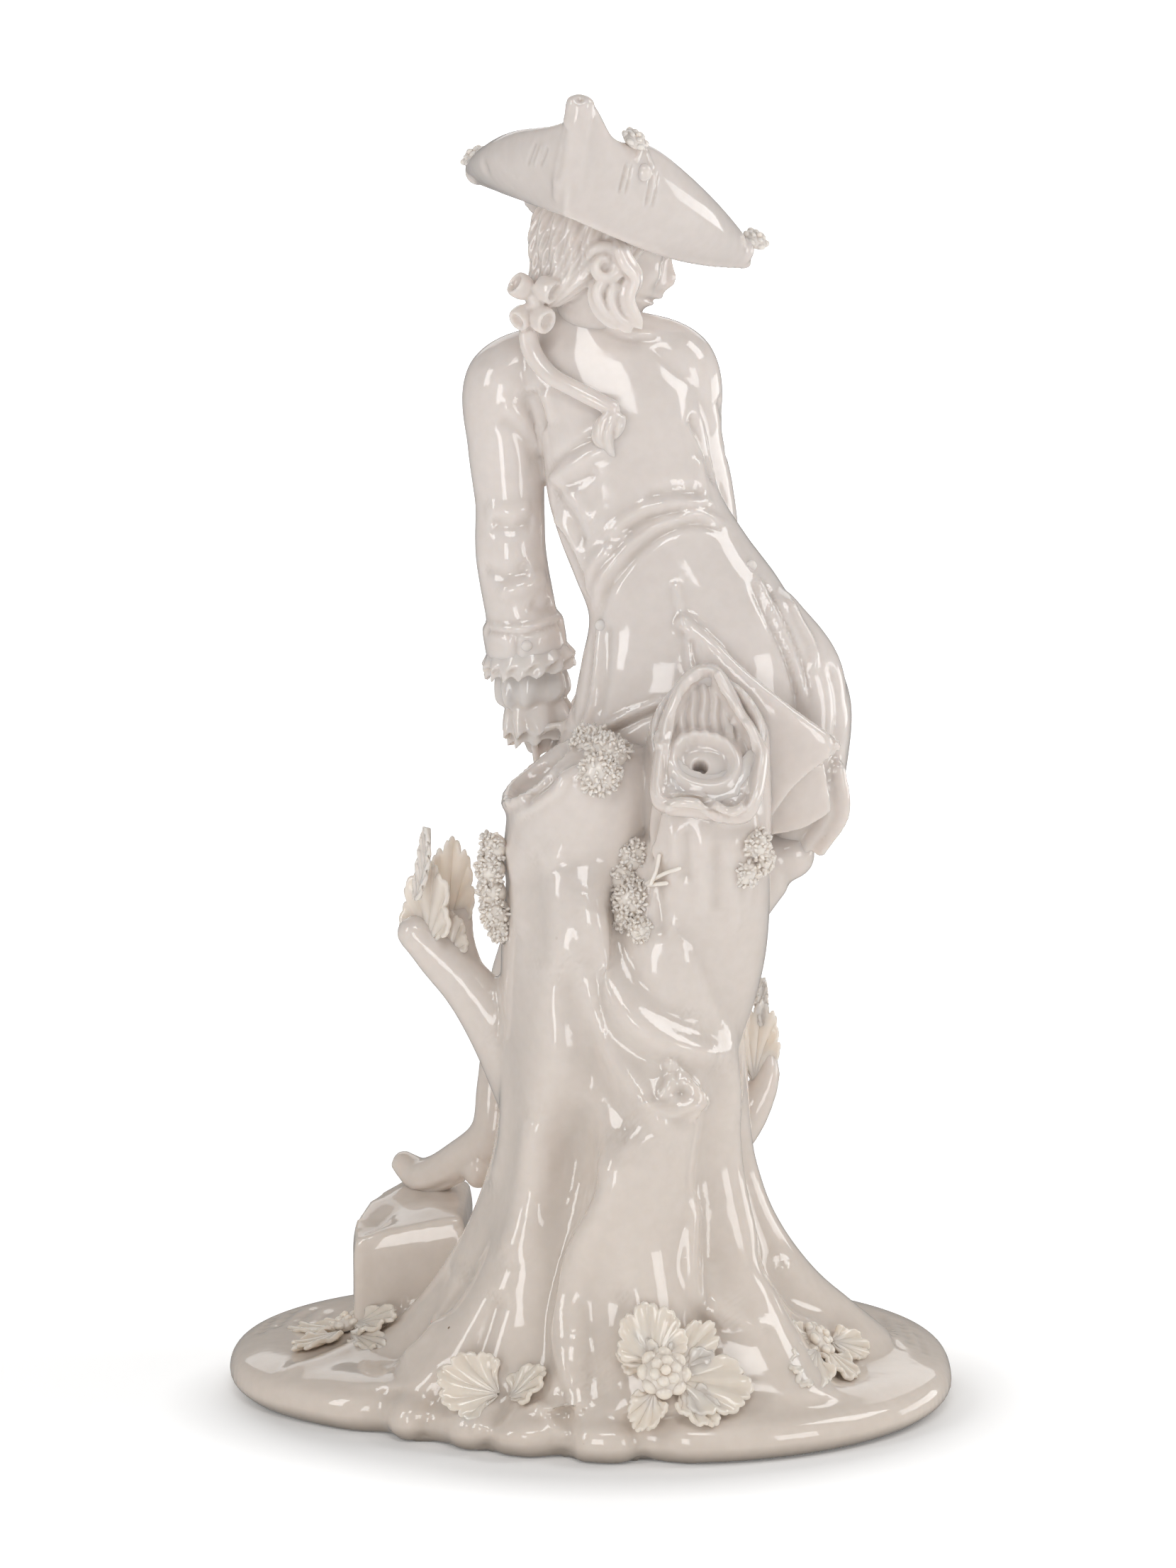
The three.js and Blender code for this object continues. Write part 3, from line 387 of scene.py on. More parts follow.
def carve(thing, lines):
    """Raises or lowers the surface along lines: [azimuth or None, places, width, rise, kind].

    A soft line fades at both ends, an open one and a spot don't, and a step is high on one side only.
    """
    points, normals = vertices_of(thing), normals_of(thing)
    tree = tree_of(thing)
    shift = np.zeros(len(points))
    for azimuth, places, width, rise, kind in lines:
        drawn = dense(places, 0.1) if len(places) > 1 else places
        rays = photo_rays(drawn) if azimuth is None else side_rays(azimuth, drawn)
        hits = cast(tree, rays)
        if not len(hits):
            continue
        view = -unit(rays[1].mean(0))
        reach = width * LINE_REACH
        near = np.all((points > hits.min(0) - reach) & (points < hits.max(0) + reach), axis=1)
        near &= normals @ view > LINE_BACK_LIMIT
        index = np.nonzero(near)[0]
        if not len(index):
            continue
        away = points[index][:, None] - hits[None]
        distance = np.linalg.norm(away, axis=2)
        closest = distance.argmin(1)
        nearest = distance[np.arange(len(index)), closest]
        share = closest / max(len(hits) - 1, 1)
        taper = np.clip(np.minimum(share, 1 - share) / LINE_TAPER, 0.0, 1.0)
        taper = taper * taper * (3 - 2 * taper)
        if kind in ("open", "spot"):
            taper = np.ones_like(taper)
        amount = np.exp(-((nearest / width) ** 2))
        if kind == "step":
            tangent = unit(np.gradient(hits, axis=0))[closest]
            sideways = np.cross(view, tangent)
            signed = ((points[index] - hits[closest]) * unit(sideways)).sum(1)
            amount = 0.5 + 0.5 * np.tanh(signed / (STEP_SHARPNESS * width))
            amount *= np.exp(-((nearest / (STEP_REACH * width)) ** 2))
        shift[index] += rise * taper * amount
    move_vertices(thing, points + normals * shift[:, None])


def on_plane(pixels, at, normal):
    """Where rays through pixels of the photograph meet a plane."""
    start, direction = photo_rays(pixels)
    distance = ((np.asarray(at, float) - start) @ normal) / (direction @ normal)
    return start + direction * distance[:, None]


def relief(at, normal, outline, centre, rows=70, columns=220):
    """A raised patch on a plane, inside an outline in the photograph. Its edge turns back into the wood."""
    normal = unit(normal)
    loop = along(list(outline) + [outline[0]], np.linspace(0, 1, columns + 1))[0][:-1]
    edge = on_plane(loop, at, normal)
    middle = on_plane([centre], at, normal)[0]
    back = [[1.0, -0.3], [1.035, -1.0], [1.045, -2.0], [1.02, -4.0], [0.9, -6.0]]
    grid = [middle + (edge - middle) * share + normal * drop for share, drop in back[::-1]]
    grid += [middle + (edge - middle) * share for share in np.linspace(0.985, 0.012, rows)]
    return closed(np.array(grid))


# Mound base and trunk

# Height, and reach to the left, right, front and back
TRUNK_REACH = [
    [4, 54, 60, 42, 46],
    [10, 48, 54, 38, 40],
    [17, 40, 47, 33, 34],
    [26, 34, 38, 29, 28],
    [38, 28.5, 31, 26.5, 24],
    [52, 25, 27, 25, 20],
    [70, 23.5, 26, 24, 18],
    [95, 23.5, 24.5, 21.5, 17],
    [112, 22, 24, 18, 16],
    [TRUNK_TOP, 19.5, 23, 13.5, 14],
]

# Each ridge or groove has a width in degrees and a track of [height, angle, rise].
TRUNK_LOBES = [
    [17, [[4, 203, 4], [14, 210, 5], [28, 221, 4], [45, 230, 2.5], [90, 236, 1.5], [119, 240, 1]]],
    [13, [[4, 262, -1], [25, 252, -3], [42, 244, -4], [57, 246, -6.5], [74, 254, -2.5], [92, 262, -3],
          [119, 277, -9]]],
    [6, [[4, 259, 5], [14, 254, 4], [28, 253, 2], [45, 258, 0.8], [60, 262, 0]]],
    [22, [[4, 284, 7], [20, 281, 5.5], [45, 279, 4.5], [66, 290, 5], [78, 300, 2], [119, 308, 3]]],
    [8, [[4, 297, -2], [14, 298, -4], [35, 308, -2.5], [60, 312, -2], [80, 318, 0]]],
    [11, [[4, 322, 8], [18, 322, 5], [38, 328, 3], [70, 333, 1], [119, 335, 0]]],
    [9, [[4, 343, -6], [20, 343, -4], [40, 345, -2], [80, 345, 0]]],
    [12, [[4, 12, 6], [18, 10, 4], [40, 8, 1.5], [80, 5, 0]]],
    [9, [[4, 38, -5], [20, 36, -3], [60, 30, -1], [100, 30, 0]]],
    [15, [[4, 66, 3], [20, 64, 3], [60, 62, 1.5], [119, 60, 1]]],
    [12, [[4, 95, -5], [25, 95, -3], [80, 95, -1.5]]],
    [15, [[4, 124, 3], [25, 122, 3], [80, 118, 1.5]]],
    [12, [[4, 172, 6], [18, 176, 4], [34, 180, 2], [60, 184, 0]]],
    [6, [[4, 190, -3], [24, 196, -2.5], [40, 205, 0]]],
]


# Where the edge bends in or out as a share of its reach, and its notches in millimetres: angle, width, amount
EDGE_BENDS = [[216, 23, -0.17], [245, 16, -0.08], [300, 22, 0.03]]
EDGE_NOTCHES = [[218, 4, 3.2], [233, 4, 3.0], [262, 4.5, 3.0], [284, 4.5, 2.4]]
LIP_RINGS = [[0.96, 0], [1.005, 0.35], [0.99, 0.8], [0.93, 1.05]]
TRUNK_LEVELS = [11, 13.5, 16, 20, 24, 29, 35, 41, 47, 52, 58, 64, 70, 78, 86, 95, 104, 112, TRUNK_TOP]


def base_reach(angle):
    """How far the mound's edge reaches at an angle: an oval with worn notches."""
    across = np.abs(cosd(angle)) / BASE_HALF_WIDTH
    forward = np.abs(sind(angle)) / BASE_HALF_DEPTH
    oval = (across**BASE_OVAL_POWER + forward**BASE_OVAL_POWER) ** (-1 / BASE_OVAL_POWER)
    drawn = 1
    for centre, width, amount in EDGE_BENDS:
        drawn = drawn + amount * bump(angle, centre, width)
    return oval * drawn - sum(depth * bump(angle, centre, width) for centre, width, depth in EDGE_NOTCHES)


def trunk_reach(angle, z):
    """How far the trunk reaches from its axis at an angle and a height."""
    left, right, front, back = at_height(TRUNK_REACH, z)
    c, s = cosd(angle), sind(angle)
    reach = 1 / np.hypot(c / np.where(c > 0, right, left), s / np.where(s > 0, back, front))
    for width, track in TRUNK_LOBES:
        centre, rise = at_height(track, z)
        reach = reach + rise * bump(angle, centre, width)
    return reach


def ground():
    a = angles(260)
    direction = np.stack([cosd(a), sind(a)], -1)
    rings = []
    for share, rise in LIP_RINGS:
        level = np.full(len(a), rise * BASE_LIP_HEIGHT)
        rings.append(np.column_stack([direction * (share * base_reach(a))[:, None], level]))
    for z in TRUNK_LEVELS:
        reach = trunk_reach(a, float(z))
        rings.append(np.column_stack([direction * reach[:, None] + TRUNK_AXIS, np.full(len(a), float(z))]))
    grid = smooth_rows(np.array(rings), 230)
    grid[..., 2] = np.maximum(grid[..., 2], 0)
    return closed(grid)


def stump(sections, face, tilt, cut, columns=96):
    face = np.asarray(face, float)
    normal = unit(tilt)
    slope = unit(np.array([0, 0, 1.0]) - normal * normal[2])
    ahead = unit([slope[0], slope[1], 0])
    level = np.array([-ahead[1], ahead[0], 0])
    a = angles(columns)
    direction = np.stack([cosd(a), sind(a), np.zeros(columns)], -1)
    rings = []
    for x, y, z, half_width, half_depth in sections:
        ring = np.array([x, y, z]) + direction * np.array([half_width, half_depth, 0])
        above = (ring - face) @ normal + 1.2
        ring[:, 2] -= np.maximum(above, 0) / normal[2]
        rings.append(ring)
    for across, forward, rise, slide in cut:
        ring = (face + level * (across * (direction @ level))[:, None]
                + slope * (forward * (direction @ ahead) + slide)[:, None] + normal * rise)
        rings.append(ring)
    return closed(smooth_rows(np.array(rings), len(rings) * 14))


def left_stump():
    return stump(
        [[1, -7, 94, 13, 11], [-2, -8, 112, 15, 15], [-2.5, -9, 136, 14, 14.5]],
        [-9.6, -8, 130.6], [-0.64, 0, 0.77],
        [[12, 10.2, 0.3, 0], [11.2, 9.4, 1.3, 0], [9.8, 8, 0, 0], [7, 5.5, -3.2, 0]])


STUMP_FACE = np.array([23.6, -24.5, 141.0])
STUMP_TILT = np.array([0.0, -0.83, 0.55])


def right_stump():
    return stump(
        [[21, -9, 72, 9, 8], [23.5, -13, 94, 12, 13], [24, -15, 116, 12.5, 14], [24, -13.5, 140, 12.2, 13.5]],
        STUMP_FACE, STUMP_TILT,
        [[10.9, 14.5, -0.6, 0], [10.2, 13.8, -1.2, 0], [8.4, 12, -4.4, 0], [5, 7, -9, -2]])


STUMP_OUTLINE = [
    (1000, 937), (983, 940), (967, 950), (952, 969), (941, 993), (931, 1021), (926, 1050), (922, 1085),
    (920, 1112), (925, 1128), (942, 1138), (972, 1142), (1008, 1148), (1038, 1152), (1058, 1146), (1070, 1128),
    (1077, 1098), (1081, 1057), (1073, 1040), (1062, 1020), (1050, 1003), (1038, 978), (1022, 951), (1011, 940),
]
STUMP_KNOT = (994, 1071)
STUMP_VENT = (988, 1077)
STUMP_LINES = [
    [[(985, 953), (962, 975), (949, 1000), (943, 1035), (938, 1062)], 0.8, 0.9, "open"],
    [[(1012, 952), (1028, 985), (1044, 1008), (1060, 1032), (1066, 1056)], 0.8, 0.9, "open"],
    [[(1066, 1056), (1060, 1085), (1054, 1105), (1048, 1120)], 0.8, 0.8],
    [[(938, 1062), (941, 1085), (938, 1110)], 0.8, 0.7],
    [[(934, 1118), (962, 1124), (995, 1127), (1025, 1146), (1045, 1141), (1052, 1120)], 0.75, 1.3],
    [[(948, 1126), (985, 1131), (1012, 1146), (1036, 1153)], 0.7, -0.9],
    [[(990, 1118), (1015, 1132), (1038, 1134)], 0.55, -0.5],
    [[(936, 1150), (944, 1138), (962, 1133), (990, 1137), (1008, 1150), (1036, 1160)], 0.9, 1.2],
    [[(955, 985), (968, 968), (983, 960)], 0.5, -0.5],
    [[(1020, 975), (1038, 1000), (1054, 1022)], 0.5, -0.5],
    [[(1040, 1012), (1030, 1030), (1034, 1048)], 0.8, 0.8],
    [[(930, 1030), (926, 1044), (934, 1056)], 0.8, 0.7],
]


RIM_HEIGHT = 0.8
FLUTE_HEIGHT = 0.42
FLUTE_SPACING = 2.3
KNOT_RADIUS = 5.9
VENT_DEPTH = 5.5


def stump_cut():
    """The slanted cut of the right stump: a rolled rim, a fluted hollow, and a ringed knot round the vent."""
    points, faces = relief(STUMP_FACE, STUMP_TILT, STUMP_OUTLINE, STUMP_KNOT)
    normal = unit(STUMP_TILT)
    knot, vent = on_plane([STUMP_KNOT, STUMP_VENT], STUMP_FACE, normal)
    edge = on_plane(dense(list(STUMP_OUTLINE) + [STUMP_OUTLINE[0]], 0.05), STUMP_FACE, normal)
    flat = points - ((points - STUMP_FACE) @ normal)[:, None] * normal
    front = (points - STUMP_FACE) @ normal > -0.01
    from_edge = np.linalg.norm(flat[:, None] - edge[None], axis=2).min(1)
    from_knot = np.linalg.norm((flat - knot) * [1.0, 1.0, 0.97], axis=1)
    from_vent = np.linalg.norm(flat - vent, axis=1)
    sink = np.clip((from_edge - 1.2) / 1.9, 0, 1)
    upper = np.clip((points[:, 2] - knot[2] + 5) / 7, 0, 1)
    wavy = 1 + 0.35 * np.sin(points[:, 0] * 0.9 + points[:, 2] * 0.7)
    height = RIM_HEIGHT * wavy * hill(from_edge, 1.1, 0.6) - (0.7 + 2.2 * upper) * sink * sink * (3 - 2 * sink)
    above = np.clip((points[:, 2] - knot[2] - 2.5) / 4, 0, 1) * np.clip((from_edge - 2.0) / 1.5, 0, 1)
    flutes = np.cos(2 * np.pi * (points[:, 0] - knot[0]) / FLUTE_SPACING + 0.5 * np.sin(points[:, 2]))
    height += FLUTE_HEIGHT * above * flutes
    ring = KNOT_RADIUS + 0.6 * np.cos(np.arctan2(flat[:, 2] - knot[2], flat[:, 0] - knot[0]) * 2 + 0.6)
    height += (1.3 + 1.5 * upper) * hill(from_knot, ring, 1.6) + (0.4 + 0.9 * upper) * hill(from_knot, 0, 3.6)
    height -= VENT_DEPTH * (0.5 - 0.5 * np.tanh((from_vent - VENT_RADIUS) / 0.28))
    height -= 0.9 * hill(from_vent, 0, 2.6)
    points = points + normal * (height * front)[:, None]
    thing = add_mesh("stump_cut", (points, faces))
    carve(thing, seen(None, STUMP_LINES))
    return thing


def branches():
    left = [[-11, -8, 63, 7], [-17.5, -6, 77, 6.6], [-24, -5, 86, 5.4], [-30, -4, 92, 4.6],
            [-35, -4, 97, 3.6]]
    left_twig = [[-24, -4, 85, 4.5], [-26.5, -1, 93, 4], [-26, 2, 99, 2.8]]
    right = [[20, -6, 90, 8], [28.5, -3, 103, 8], [36.5, 0, 111, 7], [40.5, 0, 112.5, 5.4]]
    right_twig = [[29, 0, 53, 4.5], [33, 3, 58, 4], [36.4, 4.6, 65, 2.8], [37, 5, 70, 1.6]]
    return [bar(stations, across=(0, 1, 0)) for stations in (left, left_twig, right, right_twig)]


BOULDER_CORNERS = np.array([
    [-48, 4.5, 30.4], [-42.4, 3.8, 32.4], [-25, 3, 35.4], [-24, 34, 35.6], [-38, 35, 35.6], [-45.6, 21, 34.4],
    [-48.4, 12, 32.4]])
LEDGE_CORNERS = np.array([
    [-22, 13, 22], [2, 12, 24], [27, 13, 24.4], [31.5, 24, 23], [30, 37, 24], [17, 43.5, 24.3], [6, 40.5, 22],
    [-9, 42.5, 20], [-24, 39, 17], [-29, 28, 18.5]])


def rock(corners, spread, rough):
    """A rock drawn by the corners of its top, with a broken face between them."""
    middle = corners.mean(0)
    loop = np.concatenate([corners, corners[:1]])
    share = np.linspace(0, len(corners), len(corners) * 10 + 1)[:-1]
    top = np.stack([np.interp(share, np.arange(len(loop)), loop[:, k]) for k in range(3)], -1)
    rings = []
    for low, out in [[0, spread], [0.3, spread * 1.01], [0.62, spread], [0.88, 1.0], [1.0, 0.94], [1.0, 0.5]]:
        ring = middle + (top - middle) * out
        ring[:, 2] = top[:, 2] * low + (0.4 if out < 0.9 else 0)
        chips = rough * np.sin(share * 4.1 + low * 5) * np.sin(share * 1.7 + low * 9) * (out > 0.9)
        ring[:, :2] += unit(ring[:, :2] - middle[:2]) * chips[:, None]
        rings.append(ring)
    return closed(np.array(rings))


def rocks():
    """The boulder under the left foot and the ledge under the right foot."""
    return [rock(BOULDER_CORNERS, 1.0, 0.0), rock(LEDGE_CORNERS, 1.06, 0.9)]


SCAR_ANGLE = 295.0
SCAR_LEVEL = 70.0
SCAR_DEPTH = 1.6


def knot_scar():
    """A low three-cornered swelling where a small branch broke off."""
    reach = trunk_reach(np.array([SCAR_ANGLE]), SCAR_LEVEL)[0] - SCAR_DEPTH
    x, y = TRUNK_AXIS + reach * np.array([cosd(SCAR_ANGLE), sind(SCAR_ANGLE)])
    return ball([x, y, SCAR_LEVEL - 0.5], [6.2, 3.4, 5.2])


# Bark, roots and cut twigs, seen in the photograph
TRUNK_LINES = [
    [[(826, 1230), (838, 1300), (852, 1360), (882, 1424), (926, 1462), (984, 1484), (1040, 1500)],
     3.0, 2.8],
    [[(816, 1340), (834, 1420), (856, 1476), (884, 1520), (926, 1572), (960, 1620)], 2.2, 1.5],
    [[(790, 1330), (806, 1420), (830, 1500), (862, 1560), (900, 1620)], 3.2, -1.5],
    [[(868, 1300), (890, 1370), (930, 1420), (990, 1450)], 2.6, -1.0],
    [[(800, 1590), (810, 1630), (814, 1665), (800, 1700)], 6.5, -1.6, "open"],
    [[(846, 1590), (850, 1640), (846, 1684), (812, 1750), (790, 1806), (780, 1866), (790, 1930), (812, 1990)],
     5.5, 2.8, "step"],
    [[(868, 1600), (872, 1660), (850, 1720), (822, 1776), (806, 1836), (806, 1900)], 3.0, 1.0],
    [[(880, 1800), (872, 1880), (884, 1950), (900, 2010)], 2.6, -0.9],
    [[(980, 1660), (966, 1740), (964, 1796), (984, 1850), (1040, 1882)], 4.0, 1.8, "step"],
    [[(1000, 1770), (1006, 1830), (1044, 1862), (1090, 1880)], 2.4, 0.8],
    [[(664, 1780), (636, 1840), (604, 1890), (556, 1930)], 3.2, 1.6],
    [[(704, 1820), (684, 1880), (664, 1935)], 2.6, -1.3],
    [[(596, 2036), (604, 1990), (632, 1944)], 2.6, -1.6, "open"],
    [[(684, 2050), (694, 2010), (716, 1966)], 2.2, -1.4, "open"],
    [[(795, 2058), (800, 2016), (792, 1966)], 2.4, -1.4, "open"],
    [[(906, 2070), (900, 2040), (890, 2000)], 2.2, -1.0, "open"],
    [[(655, 2010), (722, 2026), (785, 2024)], 1.8, 1.0],
    [[(748, 1976), (775, 2006), (792, 2034)], 1.4, 1.0],
    [[(384, 1939), (455, 1918), (530, 1880), (590, 1831)], 2.4, 0.8],
    [[(714, 1180), (728, 1240), (733, 1330)], 2.8, 0.7],
    [[(746, 1190), (756, 1290), (762, 1380)], 2.8, -0.5],
    [[(778, 1180), (788, 1290), (802, 1400)], 3.2, 0.7],
    [[(940, 1290), (990, 1400), (1030, 1500), (1042, 1600)], 3.4, 0.8],
    [[(1046, 1540), (1050, 1640), (1076, 1730), (1118, 1790)], 3.0, -1.0],
    [[(1082, 1782), (1120, 1830), (1190, 1862)], 4.4, -1.4, "open"],
    [[(1092, 1812), (1120, 1856), (1180, 1888)], 2.2, 0.8],
    [[(700, 1440), (712, 1540), (708, 1620), (690, 1690)], 3.4, 0.8],
    [[(748, 1560), (752, 1640), (736, 1720), (704, 1790)], 3.6, 1.0],
    [[(711, 1150), (722, 1112), (758, 1083), (797, 1060)], 1.0, 0.8],
    [[(716, 1160), (758, 1134), (788, 1112), (800, 1085)], 1.1, 0.9],
    [[(735, 1130), (762, 1108), (786, 1090)], 1.6, -1.8],
    [[(936, 1152), (946, 1140), (974, 1136), (1000, 1140), (1012, 1152), (1038, 1158), (1060, 1146)],
     1.1, 0.9],
    [[(926, 1130), (922, 1170), (928, 1225)], 1.1, 0.8],
    [[(950, 1165), (952, 1200), (948, 1250)], 1.0, 0.6],
    [[(968, 1165), (970, 1200), (968, 1250)], 1.0, -0.5],
    [[(990, 1168), (993, 1240), (990, 1300)], 1.4, 0.45],
    [[(1012, 1172), (1013, 1240), (1012, 1290)], 1.2, -0.45],
    [[(1034, 1172), (1036, 1250), (1038, 1320)], 1.4, 0.45],
    [[(932, 1200), (930, 1260), (936, 1330)], 1.6, -0.9],
    [[(930, 1548), (944, 1530), (944, 1500)], 0.8, 0.9, "open"],
    [[(944, 1500), (966, 1520), (990, 1546)], 0.8, 0.9, "open"],
    [[(908, 1556), (930, 1562), (950, 1570), (972, 1562), (996, 1556)], 0.9, 0.9, "open"],
    [[(962, 1540)], 1.7, -1.6, "spot"],
    [[(930, 1548)], 1.2, -0.8, "spot"],
    [[(470, 1846), (452, 1862), (430, 1880)], 0.9, -0.42],
    [[(448, 1842), (430, 1856), (408, 1876)], 0.9, -0.42],
    [[(426, 1840), (406, 1856), (384, 1876)], 0.9, -0.42],
    [[(404, 1846), (384, 1862), (364, 1884)], 0.9, -0.42],
    [[(1240, 1850), (1256, 1876), (1268, 1905)], 0.9, -0.42],
    [[(1264, 1858), (1278, 1878), (1286, 1898)], 0.8, -0.36],
    [[(1288, 1872), (1300, 1892), (1308, 1912)], 0.8, -0.3],
]


def trunk():
    bark = bar([[24.4, -24.6, 128.4, 8.6, 3.4], [24, -25.2, 124, 10, 4], [23.2, -24.6, 116, 10.4, 4.4],
                [22, -23, 104, 10, 5], [20, -20.6, 92, 9, 5]])
    forms = [ground(), left_stump(), right_stump(), knot_scar(), bark] + branches() + rocks()
    thing = fused("trunk_and_mound", forms, TRUNK_GRAIN, 6)
    carve(thing, seen(None, TRUNK_LINES))
    points = vertices_of(thing)
    points[:, 2] = np.maximum(points[:, 2], 0)
    move_vertices(thing, points)
    return thing


# Coat, arms and legs

# Height, centre x and y, half width and half depth
COAT = [
    [118, 14, 4, 8, 6],
    [126, 16, 4, 17, 12],
    [134, 19, 4, 21.5, 14],
    [142, 20.8, 4, 23.6, 14.6],
    [151, 21.6, 4.5, 22.9, 14.5],
    [160, 21.4, 6, 21.2, 14],
    [168, 17.6, 8, 20.3, 13],
    [175, 13.4, 10, 19, 12.2],
    [183, 9.6, 12, 17.6, 12],
    [191, 7.8, 14, 16.8, 12.3],
    [199, 6.4, 16, 17, 12.4],
    [206, 4, 18, 18.2, 11.6],
    [211, 1.6, 19.4, 17, 10.4],
    [216, 0.4, 20.4, 12.4, 8.6],
    [220, -0.4, 21, 8.4, 7.4],
    [225, -0.4, 21.5, 7.4, 7],
]


# Heights of the leaning waist and of the top of the slit in the skirt
WAIST_LEVEL = 169
SLIT_LEVEL = 159


def coat_body():
    a = angles(180)
    c, s = cosd(a), sind(a)
    rings = []
    for level in np.linspace(COAT[0][0], COAT[-1][0], 150):
        z = level + WAIST_LEAN * c * hill(level, WAIST_LEVEL, 16)
        x, y, half_width, half_depth = np.moveaxis(at_height(COAT, z), -1, 0)
        power = COAT_OVAL_POWER
        reach = (np.abs(c / half_width) ** power + np.abs(s / half_depth) ** power) ** (-1 / power)
        reach = reach - 1.0 * bump(a, 270, 5) * np.clip((SLIT_LEVEL - z) / 8, 0, 1)
        rings.append(np.stack([x + reach * c, y + reach * s, z], -1))
    return closed(np.array(rings))


# The turned-back tail: its fold and its hem, both from the vent to the tip.
TAIL_FOLD = [[19.0, -8.0, 161.3], [24.3, -10.2, 157.2], [29.5, -12, 152.3], [35.5, -13.2, 147.5],
             [41, -13.6, 143.3], [49.3, -11.5, 137]]
TAIL_HEM = [[20.4, -9, 153], [24.5, -10.6, 143], [28.5, -11.6, 132], [33.7, -12.4, 120.5],
            [41.3, -13, 129.6], [48.8, -11.5, 136]]


def patch(upper, lower, thickness, bulge=0.0, steps=(70, 40)):
    """A thick cloth between two lines, swelling towards the viewer by the bulge."""
    u = np.linspace(0, 1, steps[0])
    v = np.linspace(0, 1, steps[1])[None, :, None]
    high, low = along(upper, u)[0][:, None], along(lower, u)[0][:, None]
    grid = high + (low - high) * v
    grid[..., 1] -= bulge * np.sin(np.pi * v[..., 0])
    return slab(grid, thickness)


def coat_tails():
    drape = [[35, 4, 158, 9, 9], [43, 4, 148, 8.5, 9], [45.5, 4, 136, 6.5, 10], [43.5, 3, 124, 6, 9],
             [41, 2, 117, 5.5, 6]]
    wing = [[46, 8, 152, 3.5, 8], [50.5, 8, 142, 2.6, 9], [50, 7, 130, 2.4, 9], [47.5, 6, 118, 2.4, 7]]
    return [
        bar(drape),
        bar(wing),
        patch(TAIL_FOLD, TAIL_HEM, 3.0, 0.3),
        bar([point + [1.5] for point in TAIL_FOLD]),
        patch([[34.5, -10.2, 125], [40, -10.5, 131], [47, -9.2, 134]],
              [[36.6, -8.8, 118.2], [43.4, -8.6, 119.8], [48.8, -7.2, 122.8]], 2.4, -0.3),
        bar([[50.1, -3.5, 131, 1.6], [51, -3.2, 121.5, 1.7], [46.8, -3, 113.6, 1.2]]),
        bar([[47.2, -3.5, 131, 1.8], [48, -3.2, 121.5, 1.8], [43.6, -3, 114.2, 1.3]]),
    ]


LEFT_ARM = [[-6, 20.5, 211.6], [-16.4, 20, 205.4], [-16.6, 19.5, 193], [-15.8, 18, 181], [-15.6, 17, 171],
            [-13.6, 16, 159], [-12.2, 16, 150], [-10.8, 15.8, 141], [-8.6, 15.5, 130.5]]
RIGHT_ARM = [[6, 20.5, 213.6], [17.6, 20, 208.4], [19.6, 21, 194], [22.4, 24, 182], [23.4, 27, 172],
             [20, 34, 162], [14, 38, 152.5], [8.5, 40, 144], [3, 38, 136]]


def arms():
    left_rows = [[0, 6.4, 6.4], [1, 8.4, 8.4], [2, 7.8, 7.8], [3, 7, 7], [4, 7.2, 7.2], [5.1, 7.2, 7.2],
                 [5.2, 8.4, 8.4], [5.9, 8.4, 8.4], [6.0, 5.4, 4.4], [7, 5.2, 4.2], [8, 3.6, 3.2]]
    right_rows = [[0, 7, 7], [1, 8.4, 8.4], [2, 7.6, 7.6], [3, 7.2, 7.2], [4, 7, 7], [5.1, 6.6, 6.6],
                  [5.2, 7.8, 7.8], [6.0, 7.8, 7.8], [6.15, 5, 3.8], [7, 5.6, 3.4], [8, 3.6, 2]]
    loop = [[-10.5, 12, 129, 0.9], [-10.6, 10, 134, 0.9], [-8, 9, 136.6, 0.9], [-5.2, 9, 136.8, 0.9],
            [-4.6, 9, 129, 0.9]]
    return [limb(LEFT_ARM, left_rows), limb(RIGHT_ARM, right_rows), bar(loop, sides=16)]


def legs():
    left = [[6, 6, 138], [-1, 20, 117], [-8, 30, 97], [-13, 28, 80], [-18, 22, 60], [-20, 19, 49],
            [-26, 21.5, 43], [-34, 26.5, 38], [-40, 30, 41.2]]
    right = [[29, 6, 138], [26, 20, 117], [22, 31, 96], [20, 30, 78], [17, 25, 55], [16, 21, 42],
             [16.5, 26, 34.6], [18, 34, 28], [19.4, 40.4, 30]]
    rows = [[0, 10, 10], [1, 10, 10], [2, 7.6, 7.6], [2.25, 6.6, 6.6], [3, 6.9, 7.2], [4, 4.6, 4.8],
            [5, 4, 4.6], [6, 4.2, 4.2], [7, 4.6, 3.9], [7.9, 2.6, 2.2], [8, 1, 1]]
    return [
        limb(left, rows, (0.53, 0.85, 0)),
        limb(right, rows),
        ball([-22.6, 18, 41.6], [3.2, 3.2, 4]),
        ball([16, 19, 29.5], [3, 3, 5.4]),
    ]


